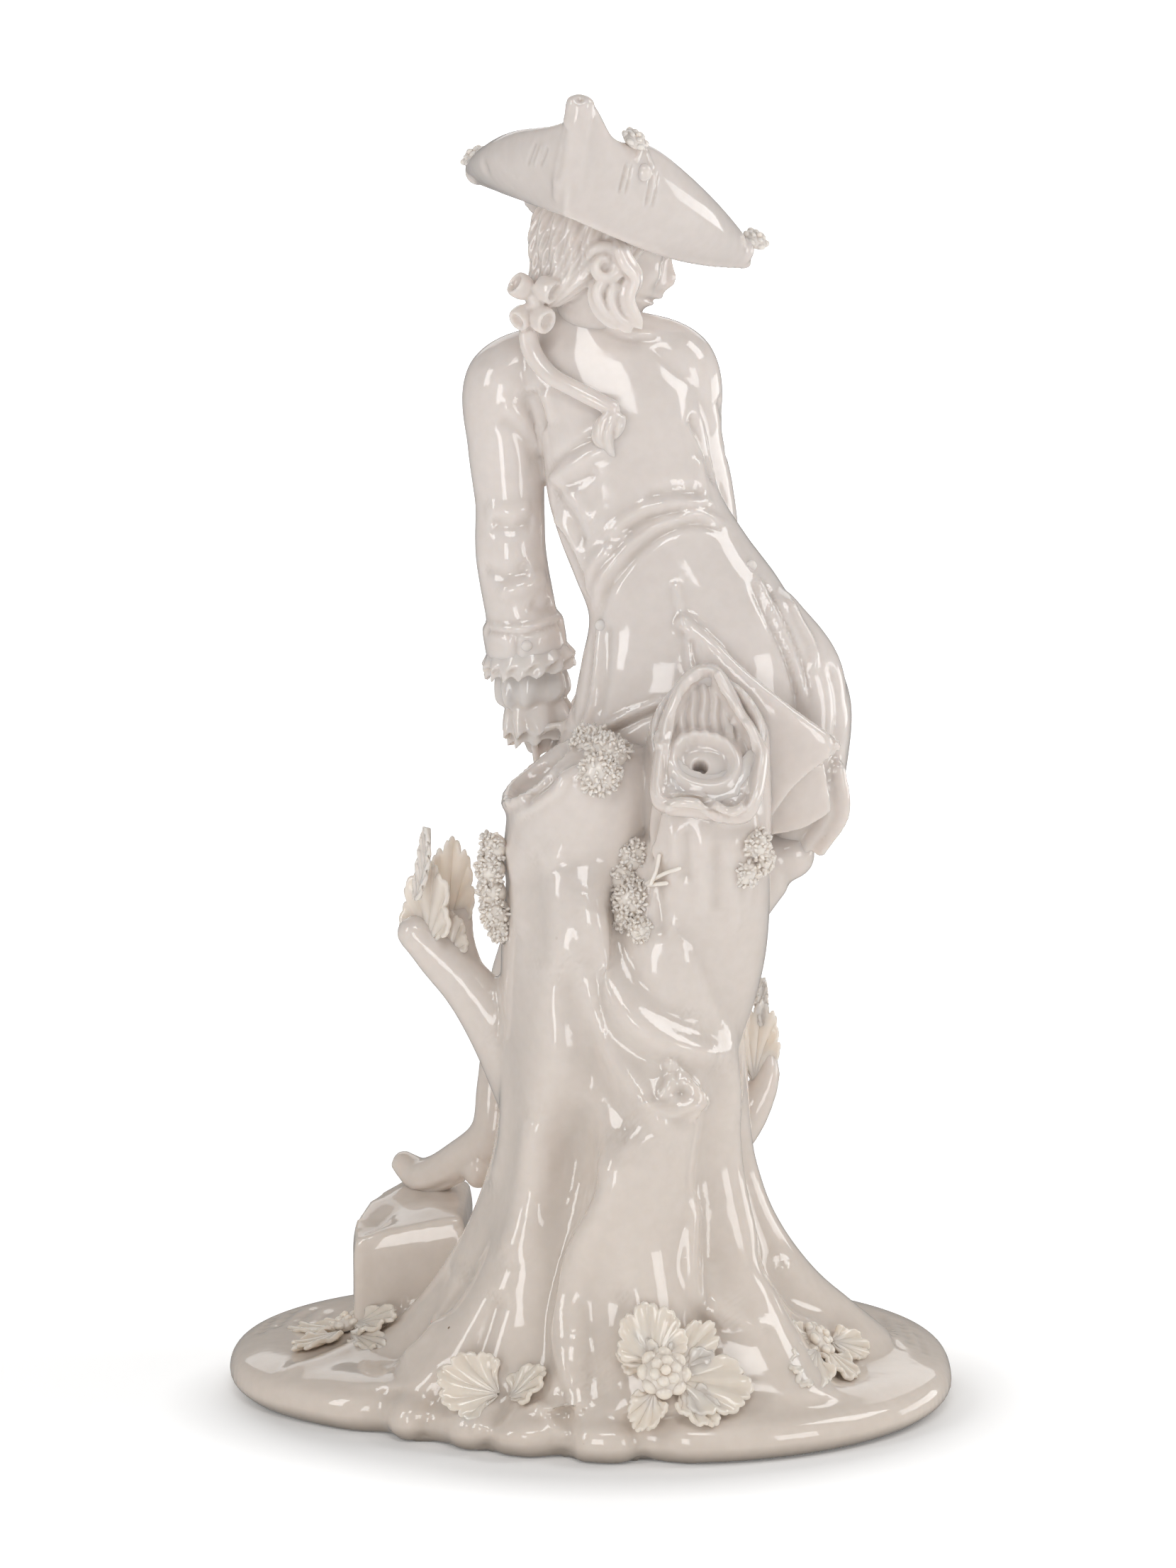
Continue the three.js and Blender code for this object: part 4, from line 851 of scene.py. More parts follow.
# Folds, seams and pleats of the back, seen in the photograph
BODY_LINES = [
    [[(944, 984), (893, 1005), (850, 1028)], 0.8, 1.0],
    [[(940, 998), (893, 1019), (850, 1042)], 1.0, -1.3],
    [[(562, 1668), (582, 1680), (606, 1679), (640, 1664)], 0.6, -0.4],
    [[(1040, 746), (986, 726), (940, 735), (900, 760), (871, 790), (846, 824), (834, 871)], 1.2, 1.0],
    [[(1030, 757), (986, 739), (942, 749), (906, 773), (880, 801), (856, 835), (843, 880)], 1.0, -0.8],
    [[(1016, 714), (963, 709), (917, 716), (880, 735), (850, 762)], 1.4, 0.9],
    [[(975, 720), (915, 731), (875, 755)], 1.3, -0.9],
    [[(1000, 692), (950, 694), (905, 700)], 1.4, -0.6],
    [[(866, 766), (838, 796), (824, 838)], 1.5, 0.9],
    [[(786, 742), (812, 790), (828, 840)], 1.4, -0.9],
    [[(778, 720), (808, 768), (826, 812)], 1.3, 0.9],
    [[(776, 690), (806, 730), (826, 775)], 1.5, -0.9],
    [[(774, 668), (808, 700), (834, 738)], 1.4, 0.7],
    [[(766, 668), (796, 642), (826, 622), (850, 612)], 1.3, -0.7],
    [[(768, 684), (800, 660), (836, 640), (866, 632)], 1.4, 0.7],
    [[(770, 702), (806, 682), (842, 664)], 1.3, -0.6],
    [[(768, 610), (758, 578), (746, 545)], 1.9, -1.2],
    [[(780, 600), (774, 575), (764, 548)], 1.4, 0.6],
    [[(704, 568), (728, 582), (750, 610), (762, 645)], 1.6, 0.6],
    [[(698, 592), (722, 602), (744, 630), (756, 665)], 1.4, -0.4],
    [[(690, 735), (720, 744), (756, 735)], 1.8, -0.9],
    [[(684, 716), (716, 724), (752, 716)], 1.8, 0.6],
    [[(676, 800), (712, 812), (750, 800)], 1.8, -0.9],
    [[(700, 836), (740, 826), (775, 812)], 1.6, 0.8],
    [[(745, 850), (765, 860), (784, 852)], 1.5, -0.7],
    [[(687, 889), (735, 894), (790, 878)], 0.9, -0.9, "open"],
    [[(687, 884), (735, 889), (788, 873)], 0.8, 0.5, "open"],
    [[(727, 897), (729, 935)], 0.7, -0.7],
    [[(953, 826), (959, 858), (966, 886)], 0.6, 0.5, "open"],
    [[(972, 896), (978, 925), (984, 950)], 1.0, -0.8],
    [[(846, 884), (842, 940), (834, 1000), (815, 1050)], 0.8, 0.7, "open"],
    [[(836, 888), (832, 940), (822, 1000), (808, 1040)], 0.8, -0.6],
    [[(858, 890), (856, 950), (848, 1000)], 1.1, -0.5, "open"],
    [[(1062, 804), (1086, 850), (1122, 930), (1138, 1000)], 0.8, 0.8],
    [[(1056, 816), (1078, 866), (1110, 936), (1126, 996)], 0.7, -0.5],
    [[(1074, 812), (1100, 862), (1130, 934), (1146, 1000)], 0.7, -0.6],
    [[(1112, 840), (1126, 872), (1146, 910), (1150, 960)], 0.9, 0.9],
    [[(972, 584), (982, 600), (998, 640), (1008, 690)], 1.4, -1.2],
    [[(984, 640), (990, 680), (998, 720)], 1.4, 0.6],
    [[(1014, 560), (1022, 600), (1026, 650)], 1.4, -0.5],
    [[(1168, 930), (1182, 980), (1182, 1040), (1174, 1090)], 1.6, -0.9],
    [[(786, 428), (830, 442), (880, 470), (940, 470)], 1.0, 0.5],
    [[(790, 436), (830, 450), (880, 478), (940, 478)], 0.9, -0.4],
]


# The front side, seen level at azimuth 180, where places run from the figure's right to its left
FRONT_LINES = [
    [[(-33, 156), (-23, 176), (-17, 190), (-12, 202), (-6.5, 213)], 1.6, 1.3, "step"],
    [[(-2, 214), (3, 203), (2.5, 192), (0.5, 180), (-5, 166), (-8, 154), (-5, 142)], 1.6, 1.3, "step"],
    [[(-43, 128), (-39, 142), (-34, 154)], 1.6, 1.0, "step"],
    [[(-30, 145), (-24, 142.6), (-19, 139), (-13, 143), (-7, 147)], 1.4, 1.0, "step"],
    [[(-19.2, 138), (-18.4, 130), (-17.6, 124)], 0.7, -0.7],
    [[(-7.5, 208), (-8.6, 198), (-9.8, 188), (-12, 176), (-16, 164)], 0.6, -0.45, "open"],
    [[(-27, 151), (-31, 148)], 0.8, -0.6],
    [[(-9, 154), (-13, 152)], 0.8, -0.6],
    [[(-15, 171), (-21, 175), (-25, 181)], 1.3, -0.6],
    [[(-3, 171), (-8, 176), (-8, 183)], 1.3, -0.5],
    [[(8, 130), (9.5, 124)], 0.45, -0.5],
    [[(10.6, 131), (12, 125)], 0.45, -0.5],
    [[(14, 176), (18, 172), (21, 174)], 1.4, -0.8],
    [[(13, 170), (17, 166), (21, 168)], 1.4, -0.7],
    [[(-27, 176), (-22, 172), (-18, 176)], 1.4, -0.8],
    [[(-26, 166), (-21, 162), (-15, 167)], 1.4, -0.7],
    [[(6, 108), (10, 103), (13, 100)], 1.5, -0.7],
    [[(-26, 108), (-22, 104), (-17, 106)], 1.5, -0.7],
    [[(-30, 124), (-24, 119), (-19, 117)], 1.6, -0.8],
    [[(-1, 122), (-6, 119), (-13, 118)], 1.6, -0.8],
]


def ring_round(centre, axis, radii, size):
    """A round cord that closes on itself."""
    turn = np.linspace(0, 360, 40)
    loop = np.stack([radii[0] * cosd(turn), radii[1] * sind(turn), np.zeros(40)], -1)
    points = loop @ basis(axis) + np.asarray(centre, float)
    return closed(tube(points, np.linspace(0, 1, 70), size, size, across=unit(axis), sides=12))


def fingers(knuckles, across, reach, bend, size):
    """Four fingers side by side."""
    knuckles, across, reach, bend = (np.asarray(v, float) for v in (knuckles, across, reach, bend))
    forms = []
    for k, share in enumerate([0.82, 1.0, 0.96, 0.76]):
        start = knuckles + across * (k - 1.5) * 2 * size * 0.92
        forms.append(bar([[*(start - reach * 0.2), size], [*(start + reach * 0.5 * share), size * 0.95],
                          [*(start + reach * share + bend), size * 0.78]], sides=14, rows=16))
    return forms


def shoe(heel, ball_of_foot, toe, up):
    """The sole, the heel, the upper's edge and the buckle of one shoe."""
    heel, ball_of_foot, toe, up = (np.asarray(v, float) for v in (heel, ball_of_foot, toe, up))
    along_foot = unit(toe - heel)
    side = unit(np.cross(up, along_foot))
    instep = heel + (ball_of_foot - heel) * 0.62 + up * 6.6
    tilt = unit(along_foot + up * 1.1)
    corners = [[-2.7, -1.9], [2.7, -1.9], [2.7, 1.9], [-2.7, 1.9], [-2.7, -1.9]]
    rise = unit(np.cross(tilt, side))
    arch = (heel + ball_of_foot) / 2
    sole = [[*heel, 3.6, 1.0], [*arch, 3.7, 1.0], [*ball_of_foot, 4.9, 1.0], [*toe, 3.0, 1.0]]
    heel_block = [[*(heel + up * 0.4), 3.3, 3.0], [*(heel + up * 3.4), 3.4, 3.1]]
    buckle = [[*(instep + side * x + rise * y + tilt * 0.3), 0.55] for x, y in corners]
    return [
        bar(sole, across=side, blunt=1.6),
        bar(heel_block, across=side, rows=10, blunt=0.3),
        ball(instep - tilt * 1.0, [3.3, 3.3, 3.3]),
        bar(buckle, across=tilt, sides=12, rows=70),
    ]


VEST_BUTTONS = [[8.2, 28.6, 196], [9.2, 27, 189.5], [10.4, 25.6, 183], [12, 24, 176.5], [14.6, 22.4, 170]]


def front_details():
    """Cravat, jabot, knee bands, fingers and the hidden shoe."""
    neck = bar([[7.2, 21, 219.6, 1.5], [5.4, 27.2, 217.8, 1.6], [-0.4, 29.6, 217.2, 1.6],
                [-6.6, 26.8, 217.8, 1.6], [-8.2, 21, 219.4, 1.4]], sides=16)
    jabot = [
        bar([[2, 28.4, 216, 2.4, 1.8], [3.2, 30.4, 211, 4.4, 1.7], [4, 31, 207.6, 4.8, 1.1]], sides=30),
        bar([[3, 29.4, 210, 2.4, 1.4], [4.4, 30.2, 205, 3.9, 1.5], [5, 30.2, 202.2, 4.2, 0.9]], sides=30),
    ]
    bands = [
        ring_round([-9.0, 29.5, 92.6], [-0.27, -0.12, -1], [7.3, 7.4], 1.05),
        ring_round([21.5, 30.9, 91.4], [-0.12, -0.05, -1], [7.3, 7.4], 1.05),
        ring_round([-8.2, 30, 96.4], [-0.27, -0.12, -1], [7.6, 7.7], 0.6),
        ring_round([21.8, 31, 95.4], [-0.12, -0.05, -1], [7.6, 7.7], 0.6),
    ]
    vest_buttons = [ball(place, [1.1, 0.8, 1.1]) for place in VEST_BUTTONS]
    side_of_hand = unit([0.8, 0, -0.55])
    hand = fingers([3.6, 38, 137.6], side_of_hand, [-4.8, -3.6, -7.6], [0.2, -1.6, 0], 1.5)
    thumb = bar([[9.4, 35.6, 143.4, 1.7], [7.6, 32.6, 139, 1.6], [4.8, 31.4, 134.6, 1.3]], sides=14, rows=16)
    return ([neck, thumb] + jabot + bands + vest_buttons + hand
            + shoe([16, 18.4, 25.4], [17.6, 33.4, 25.2], [19.2, 41.6, 26.2], [0, 0, 1]))


def body():
    forms = [coat_body()] + coat_tails() + arms() + legs() + front_details()
    thing = fused("figure_body", forms, BODY_GRAIN, 5)
    carve(thing, seen(None, BODY_LINES) + seen(180, FRONT_LINES))
    return thing


# Head, hair and bow

# Height, reach in front, half width and reach behind, in the head's own frame
FACE_PROFILE = [
    [-14.2, 7.4, 1.6, 2],
    [-13.4, 10, 3.4, 6],
    [-11.4, 11.4, 4.6, 8],
    [-9.4, 10.5, 6, 9],
    [-7.6, 11.5, 7, 9.5],
    [-6.9, 10.9, 7.3, 9.8],
    [-6.1, 11.7, 7.6, 10],
    [-4.6, 11.4, 8.2, 10.5],
    [-2.6, 11.6, 9, 11],
    [0.4, 11.3, 9.8, 12],
    [2.6, 11.6, 10.2, 12.5],
    [5, 12, 10.5, 13],
    [10, 10.4, 9.8, 13],
    [13.6, 6, 6, 8],
]


def on_head(points):
    """From the head's own frame, with +X along the face, to the part's frame."""
    return rotated(rotated(points * HEAD_SCALE, 1, HEAD_PITCH), 2, HEAD_YAW) + HEAD_CENTRE


# Where the features lie round the face, in degrees from its middle
EYE_TURN = 21
BROW_TURN = 20
CHEEK_TURN = 38
NOSTRIL_TURN = 11


def both(degrees, turn, width):
    """A bump at an angle on either side of the face's middle."""
    return bump(degrees, turn, width) + bump(degrees, -turn, width)


def face():
    a = angles(240)
    turn = np.radians(a) - 0.5 * np.sin(np.radians(a))
    degrees = np.degrees(turn)
    c, s = np.cos(turn), np.sin(turn)
    rings = []
    for z in np.linspace(-14.2, 13.6, 170):
        front, half_width, back = at_height(FACE_PROFILE, z)
        reach = 1 / np.hypot(c / np.where(c > 0, front, back), s / half_width)
        bridge = np.clip((z + 4.6) / 5.4, 0, 1)
        nose_width = 6.0 + 3.4 * (1 - bridge)
        nose = 3.1 * bump(degrees, 0, nose_width) * np.clip(1.15 - abs(z + 2.4) / 5, 0, 1)
        wings = 0.5 * both(degrees, NOSTRIL_TURN, 4) * hill(z, -3.9, 0.8)
        sockets = 0.9 * both(degrees, EYE_TURN, 9) * hill(z, 1.4, 2.0)
        balls = 0.62 * both(degrees, EYE_TURN, 6.5) * hill(z, 1.0, 0.85)
        lids = 0.25 * both(degrees, EYE_TURN, 8) * (hill(z, 1.75, 0.28) + 0.6 * hill(z, 0.2, 0.25))
        brows = 0.4 * both(degrees, BROW_TURN, 11) * hill(z, 3.4, 0.7)
        cheeks = 0.8 * both(degrees, CHEEK_TURN, 16) * hill(z, -3, 3)
        lips = 0.45 * hill(z, -6.1, 0.5) + 0.5 * hill(z, -7.5, 0.6) - 0.35 * hill(z, -6.8, 0.22)
        chin = 0.5 * bump(degrees, 0, 16) * hill(z, -10.8, 1.4)
        mouth = bump(degrees, 0, 13) * lips
        full = reach + nose + wings - sockets + balls + lids + brows + cheeks + mouth + chin
        rings.append(np.stack([full * c, full * s, np.full(len(a), z)], -1))
    ears = [ball([-0.6, side * 9.6, -0.6], [2.2, 1.2, 3.2], (0, 12, 0)) for side in (-1, 1)]
    points, faces = together([closed(np.array(rings))] + ears)
    return on_head(points), faces


# Centre and radius of each section, lowest first
HAIR_SECTIONS = [
    [-8.4, 12.8, 222, 3],
    [-5, 14.6, 225.6, 7],
    [-1.2, 17.4, 229.6, 10.4],
    [0.9, 20, 234.8, 12.8],
    [2, 21.5, 240.6, 12.2],
    [2.2, 22, 245, 8],
]


def hair_mass():
    a = angles(320)
    sections = np.array(HAIR_SECTIONS, float)
    numbered = np.column_stack([np.arange(len(sections)), sections])
    rings = []
    for k, (x, y, z, reach) in enumerate(at_height(numbered, np.linspace(0, len(sections) - 1, 90))):
        twist = k * 0.35
        combed = 0.034 * cosd((a + twist) * 20) + 0.018 * cosd((a - twist) * 47 + 40) + 0.02 * cosd(a * 9)
        out = reach * (1 + combed)
        rings.append(np.stack([x + out * cosd(a), y + out * sind(a), np.full(len(a), z)], -1))
    return closed(np.array(rings))


def curled(stations, strands=3, depth=0.22, sides=30, rows=70, turns=0.8, across=(1, 0, 0)):
    """A lock of hair: a tapering bar with twisting strands."""
    places, shares, size = stationed(stations, rows)
    centre, tangent = along(places, shares)
    side, other = frames(tangent, across)
    a = angles(sides)
    wave = 1 + depth * cosd(strands * a[None] + 360 * turns * shares[:, None])
    ends = np.sqrt(np.clip(np.minimum(shares, 1 - shares) * 9, 0.02, 1))
    w, d = (size[:, k] * ends for k in (0, 1))
    around = (side[:, None] * (w[:, None] * wave * cosd(a))[..., None]
              + other[:, None] * (d[:, None] * wave * sind(a))[..., None])
    return closed(centre[:, None] + around)


def hair():
    locks = [
        [[5.4, 8.2, 236.5, 1.8], [7, 6.6, 232, 1.9], [9.2, 6.8, 228.4, 1.8], [8, 6.6, 224.4, 1.7],
         [9.2, 6.6, 220.8, 1.5], [10.8, 6.6, 218, 0.9]],
        [[4.2, 7.4, 228.4, 1.8], [1.9, 6.8, 225.6, 1.9], [2.6, 6.6, 222.4, 1.7], [4.8, 6.8, 220, 1.5],
         [7.0, 7, 218.2, 0.8]],
        [[6.4, 7.4, 227.4, 1.6], [4.7, 6.8, 224.8, 1.7], [5.2, 6.6, 221.6, 1.6], [7.2, 6.8, 219.2, 1.4],
         [8.8, 6.8, 217.4, 0.8]],
        [[-6, 31, 236, 2.4], [-6.5, 33, 229, 2.4], [-5, 31, 221, 1.6]],
    ]
    queue = [[-12.2, 11, 220.5, 1.7], [-11.4, 9.6, 213.8, 1.9], [-8, 7.4, 209.2, 1.8], [-1.9, 5, 206, 1.8],
             [4.2, 3.8, 203, 1.7], [6.4, 4, 201.8, 1.4]]
    tassels = [
        [[6, 3.8, 202.4, 1.1], [3, 2.8, 200, 1.5], [2.2, 2.4, 197, 1.4], [3.4, 2.4, 194.6, 0.7]],
        [[6.4, 3.8, 202, 1.1], [4.4, 2.6, 199.2, 1.4], [3.8, 2.4, 196, 1.3], [5.4, 2.4, 192.8, 0.7]],
        [[6.8, 3.8, 201.6, 0.9], [6, 3, 198.8, 1.2], [5.4, 2.8, 196.6, 0.7]],
    ]
    return (
        [hair_mass(), bar([[2.5, 13.5, 228, 7.5, 5], [0.5, 16, 221, 7, 5]])]
        + [curled(lock) for lock in locks]
        + [curled(queue, 2, 0.08, turns=0.3)] + [curled(tassel, 3, 0.2, turns=0.4) for tassel in tassels]
        + [side_roll(), ball([3.4, 8.4, 231.2], [3.2, 2.2, 3.2]),
           ball([5, 8.8, 224.6], [3.6, 2.2, 5.2], (0, 20, 0))]
    )


def side_roll():
    """The rolled curl over the ear: one lock wound inwards."""
    turn = np.linspace(0, 1, 16)
    angle = 160 - 470 * turn
    reach = 3.3 * (1 - turn) ** 0.7 + 0.5
    stations = np.column_stack([reach * cosd(angle), reach * sind(angle), 1.2 * turn, 1.75 - 0.9 * turn])
    lock = curled(stations, 3, 0.12, turns=1.5, across=(0, 0, 1), rows=160)
    return placed(lock, [3.2, 7, 231], [0.2, -0.95, 0.1])


def loop_of(at, axis, radius, length, flat=0.8):
    """A ribbon loop: a short barrel with an open end."""
    profile = [[-0.5, 0.3], [-0.5, 0.8], [-0.3, 1.0], [0.3, 1.06], [0.5, 0.95], [0.5, 0.74], [0.34, 0.55],
               [0.26, 0.25]]
    a = angles(32)
    oval = radius * np.stack([cosd(a), flat * sind(a)], -1)
    grid = np.array([np.column_stack([r * oval, np.full(len(a), length * z)]) for z, r in profile])
    return placed(closed(smooth_rows(grid, 30)), at, axis, (axis[2], 0, -axis[0]))


def bow():
    loops = [
        [[-13.3, 9.6, 226.3], [-0.7, -0.5, 0.5], 2.5, 3.8],
        [[-8.3, 8.4, 226], [0.75, -0.6, -0.3], 2.5, 4.2],
        [[-13.2, 9.4, 220.2], [-0.5, -0.7, -0.35], 2.3, 3.8],
        [[-9.2, 8.2, 220], [0.55, -0.75, -0.2], 2.6, 4.0],
    ]
    ties = [bar([[-10.6, 9.6, 223.2, 1.3], [x, y + 0.8, z, 1.3]]) for (x, y, z), _, _, _ in loops]
    return [ball([-10.6, 9.2, 223.2], [1.5, 1.5, 1.7])] + [loop_of(*loop) for loop in loops] + ties


def head():
    return fused("head", [face()] + hair() + bow(), HEAD_GRAIN, 5)


# Hat

# Rim and foot of the brim at each corner
HAT_CORNERS = [
    [[-1.6, -10, 266.4], [-4.6, -8, 243.2]],
    [[32, 39, 232], [33.6, 40, 226.6]],
    [[-24.4, 36, 247.6], [-24, 36, 244.6]],
]
# Bow of the rim, bow of the foot, lift of the rim, sag of the foot, bulge, and a dip in the rim: its depth,
# its place along the panel, and its width before and after that place
HAT_PANELS = [
    [4.2, 3.2, 0.2, 2.6, 3.0, 4.4, 0.14, 0.065, 0.13],
    [3.5, 1.5, 0.5, 0, 1.6, 0, 0.5, 1, 1],
    [4.2, 1.6, -0.5, -0.4, 2.4, 4.2, 0.95, 0.29, 0.06],
]


def hat_edge(angle):
    """Rim, foot, outward direction and bulge of the brim at an angle. Each side takes 120 degrees."""
    turn = (angle % 360) / 120
    index = min(int(turn), 2)
    even = turn - index
    s = even - 0.09 * np.sin(2 * np.pi * even)
    start, end = np.array(HAT_CORNERS[index]), np.array(HAT_CORNERS[(index + 1) % 3])
    rim_bow, foot_bow, rim_lift, foot_sag, bulge, dip, dip_at, before, after = HAT_PANELS[index]
    arch = np.sin(np.pi * s)
    chord = end[1] - start[1]
    outward = unit([chord[1], -chord[0], 0])
    corner = HAT_CORNER_ROUND * min(1, arch * 6)
    rim = start[0] + (end[0] - start[0]) * s + outward * (rim_bow * arch + corner)
    foot = start[1] + (end[1] - start[1]) * s + outward * foot_bow * arch
    rim[2] += rim_lift * arch - dip * np.exp(-(((s - dip_at) / (before if s < dip_at else after)) ** 2))
    foot[2] -= foot_sag * arch
    return rim, foot, outward, bulge * arch + 0.3


# Cord and stitches of the hat, seen in the photograph
HAT_LINES = [
    [[(888, 229), (883, 250), (877, 274)], 0.32, 0.35],
    [[(925, 240), (920, 266), (915, 293)], 0.32, 0.35],
    [[(884, 228), (878, 250), (873, 274)], 0.3, -0.3],
    [[(892, 230), (888, 251), (881, 276)], 0.3, -0.3],
    [[(920, 239), (915, 265), (910, 293)], 0.3, -0.3],
    [[(930, 241), (926, 266), (920, 295)], 0.3, -0.3],
    [[(906, 206), (896, 228)], 0.35, 0.4],
    [[(909, 206), (922, 238)], 0.35, 0.4],
    [[(757, 198), (750, 216), (743, 236)], 0.35, -0.25],
    [[(765, 204), (759, 220), (754, 236)], 0.35, 0.25],
    [[(773, 206), (768, 220), (761, 236)], 0.35, -0.25],
    [[(796, 172), (793, 195), (789, 230), (781, 262)], 1.3, -0.5],
    [[(684, 236)], 1.6, -0.5, "spot"],
    [[(818, 139)], 0.9, -0.7, "spot"],
]


# Reach and rise of the crown as it closes
HAT_CROWN_PROFILE = [[0.6, 3], [0.48, 6.5], [0.3, 9.5], [0.12, 11]]
HAT_CROWN_REACH = 22


def hat():
    up = unit(HAT_CROWN_NORMAL)
    grid = []
    for angle in angles(360):
        rim, foot, outward, bulge = hat_edge(angle)
        inward = unit((HAT_CROWN_CENTRE - rim) * [1, 1, 0])
        under = unit((HAT_CROWN_CENTRE - foot) * [1, 1, 0])
        column = [foot + under * 3.4 + [0, 0, -0.2], foot + under * 1.3 + [0, 0, -0.9]]
        column += [foot + (rim - foot) * u + outward * bulge * np.sin(np.pi * u) ** 0.8
                   for u in np.linspace(0, 0.94, 14)]
        column += [rim + inward * 0.2, rim + inward * 1.0 + [0, 0, 0.45], rim + inward * 2.0]
        spread = foot - HAT_CROWN_CENTRE
        spread = spread * min(1, HAT_CROWN_REACH / np.linalg.norm(spread))
        edge = rim + inward * 2.2
        column.append(edge + (HAT_CROWN_CENTRE + spread * 0.62 + up * 3.4 - edge) * 0.5)
        for reach, rise in HAT_CROWN_PROFILE:
            column.append(HAT_CROWN_CENTRE + spread * reach + up * rise)
        grid.append(column)
    shell = closed(smooth_rows(np.moveaxis(np.array(grid), 0, 1), 84))
    horn = bar([[-1.5, -8.6, 265.0, 2.9, 1.9], [-2.0, -8.3, 261.5, 2.9, 2], [-2.8, -7.3, 256, 3.1, 2.2],
                [-3.5, -6.1, 250, 3.5, 2.5], [-3.9, -5.0, 246.4, 3.2, 2.2]])
    left_end = ball([-22.0, 34.8, 246.7], [2.9, 2.6, 3.3], (0, 25, 0))
    right_end = ball([31.0, 38.0, 229.6], [2.8, 2.6, 3.2], (0, 35, 0))
    dome, dome_faces = ball([0, 0, 0], [14, 14, HAT_CROWN_HEIGHT], sides=64, rows=40)
    dome[:, 2] = np.maximum(dome[:, 2], 0.4)
    crown = placed((dome, dome_faces), HAT_CROWN_CENTRE, up)
    thing = fused("hat", [shell, horn, left_end, right_end, crown], HAT_GRAIN, 12)
    carve(thing, seen(None, HAT_LINES))
    return thing


# Applied leaves, flowers and moss


def fan_leaf(stem, tip, normal, width, curl=1.5, lobes=5, thickness=1.0, ruffle=0.5):
    """A broad leaf with veined lobes and a ruffled edge."""
    stem, tip = np.asarray(stem, float), np.asarray(tip, float)
    length = np.linalg.norm(tip - stem)
    u, v = np.meshgrid(np.linspace(0, 1, 26), np.linspace(-1, 1, 61), indexing="ij")
    spread = v * 112
    lobe = np.abs(cosd(v * 90 * lobes))
    teeth = np.abs(cosd(v * 270 * lobes))
    outline = (0.66 + 0.34 * cosd(spread * 0.8)) * (0.84 + 0.11 * lobe**0.6 + 0.05 * teeth)
    reach = np.maximum(u, 0.03) * outline
    x = length * (0.22 + 0.78 * reach * cosd(spread * 0.9)) - 0.22 * length * (1 - u) ** 2 - 0.02
    y = width * 0.66 * reach * sind(spread * 0.8)
    veins = 0.4 * lobe**3 * np.clip(u * 2.2, 0, 1) * np.clip((1.1 - u) * 3, 0, 1)
    bend = curl * u**2 * (0.35 + 0.65 * np.abs(v)) - 0.25 * curl * u
    waves = ruffle * u**3 * sind(v * 180 * lobes + 40 * np.sin(3 * v))
    grid = np.stack([x, y, 0.6 + bend - veins + waves], -1)
    return placed(slab(grid, thickness, 0.4), stem, normal, tip - stem)


def long_leaf(stem, tip, normal, width, curl=1.5, teeth=9, thickness=0.9):
    """A tall leaf with a toothed edge, a middle rib and slanting side ribs."""
    stem, tip = np.asarray(stem, float), np.asarray(tip, float)
    length = np.linalg.norm(tip - stem)
    u, v = np.meshgrid(np.linspace(0, 1, 80), np.linspace(-1, 1, 41), indexing="ij")
    outline = np.sin(np.pi * np.clip(u, 0, 1) ** 0.8) ** 0.55
    saw = 1 - 0.16 * ((u * teeth) % 1.0) * np.clip(np.sin(np.pi * u) * 3, 0, 1)
    y = v * width * 0.5 * np.maximum(outline * saw, 0.06)
    x = length * (u + 0.05 * np.abs(v) * np.sin(np.pi * u))
    ribs = 0.22 * np.cos(2 * np.pi * (teeth * u - 2.2 * np.abs(v))) * np.abs(v) ** 0.5 * outline
    middle = 0.45 * np.exp(-((v / 0.09) ** 2))
    bend = curl * (v**2 + (2 * u - 1) ** 2) - 0.4 * curl
    grid = np.stack([x, y, bend + ribs - middle + 0.6], -1)
    return placed(slab(grid, thickness, 0.35), stem, normal, tip - stem)


def rosette(at, normal, radius, petals=7):
    """A flower head of rounded petals in two rings round a button."""
    forms = []
    for count, ring, size, rise, offset in ((petals, 0.68, 0.36, 0.0, 0), (petals - 2, 0.36, 0.27, 0.28, 20)):
        for k in range(count):
            a = 360.0 * k / count + offset
            place = [ring * radius * cosd(a), ring * radius * sind(a), rise * radius]
            full = size * radius
            points, faces = ball([0, 0, 0], [full, full * 0.95, full * 0.62], (0, -22, 0), 16, 10)
            forms.append((rotated(points, 2, a) + np.array(place), faces))
    button = np.array([0.2, 0.2, 0.18])
    under = np.array([0.86, 0.86, 0.42])
    forms.append(ball([0, 0, 0.44 * radius], button * radius, sides=14, rows=9))
    forms.append(ball([0, 0, -0.05 * radius], under * radius, sides=24, rows=12))
    return placed(together(forms), at, normal)


STRANDS_PER_SQUARE_MM = 6.5
STRAND_RADIUS = 0.34


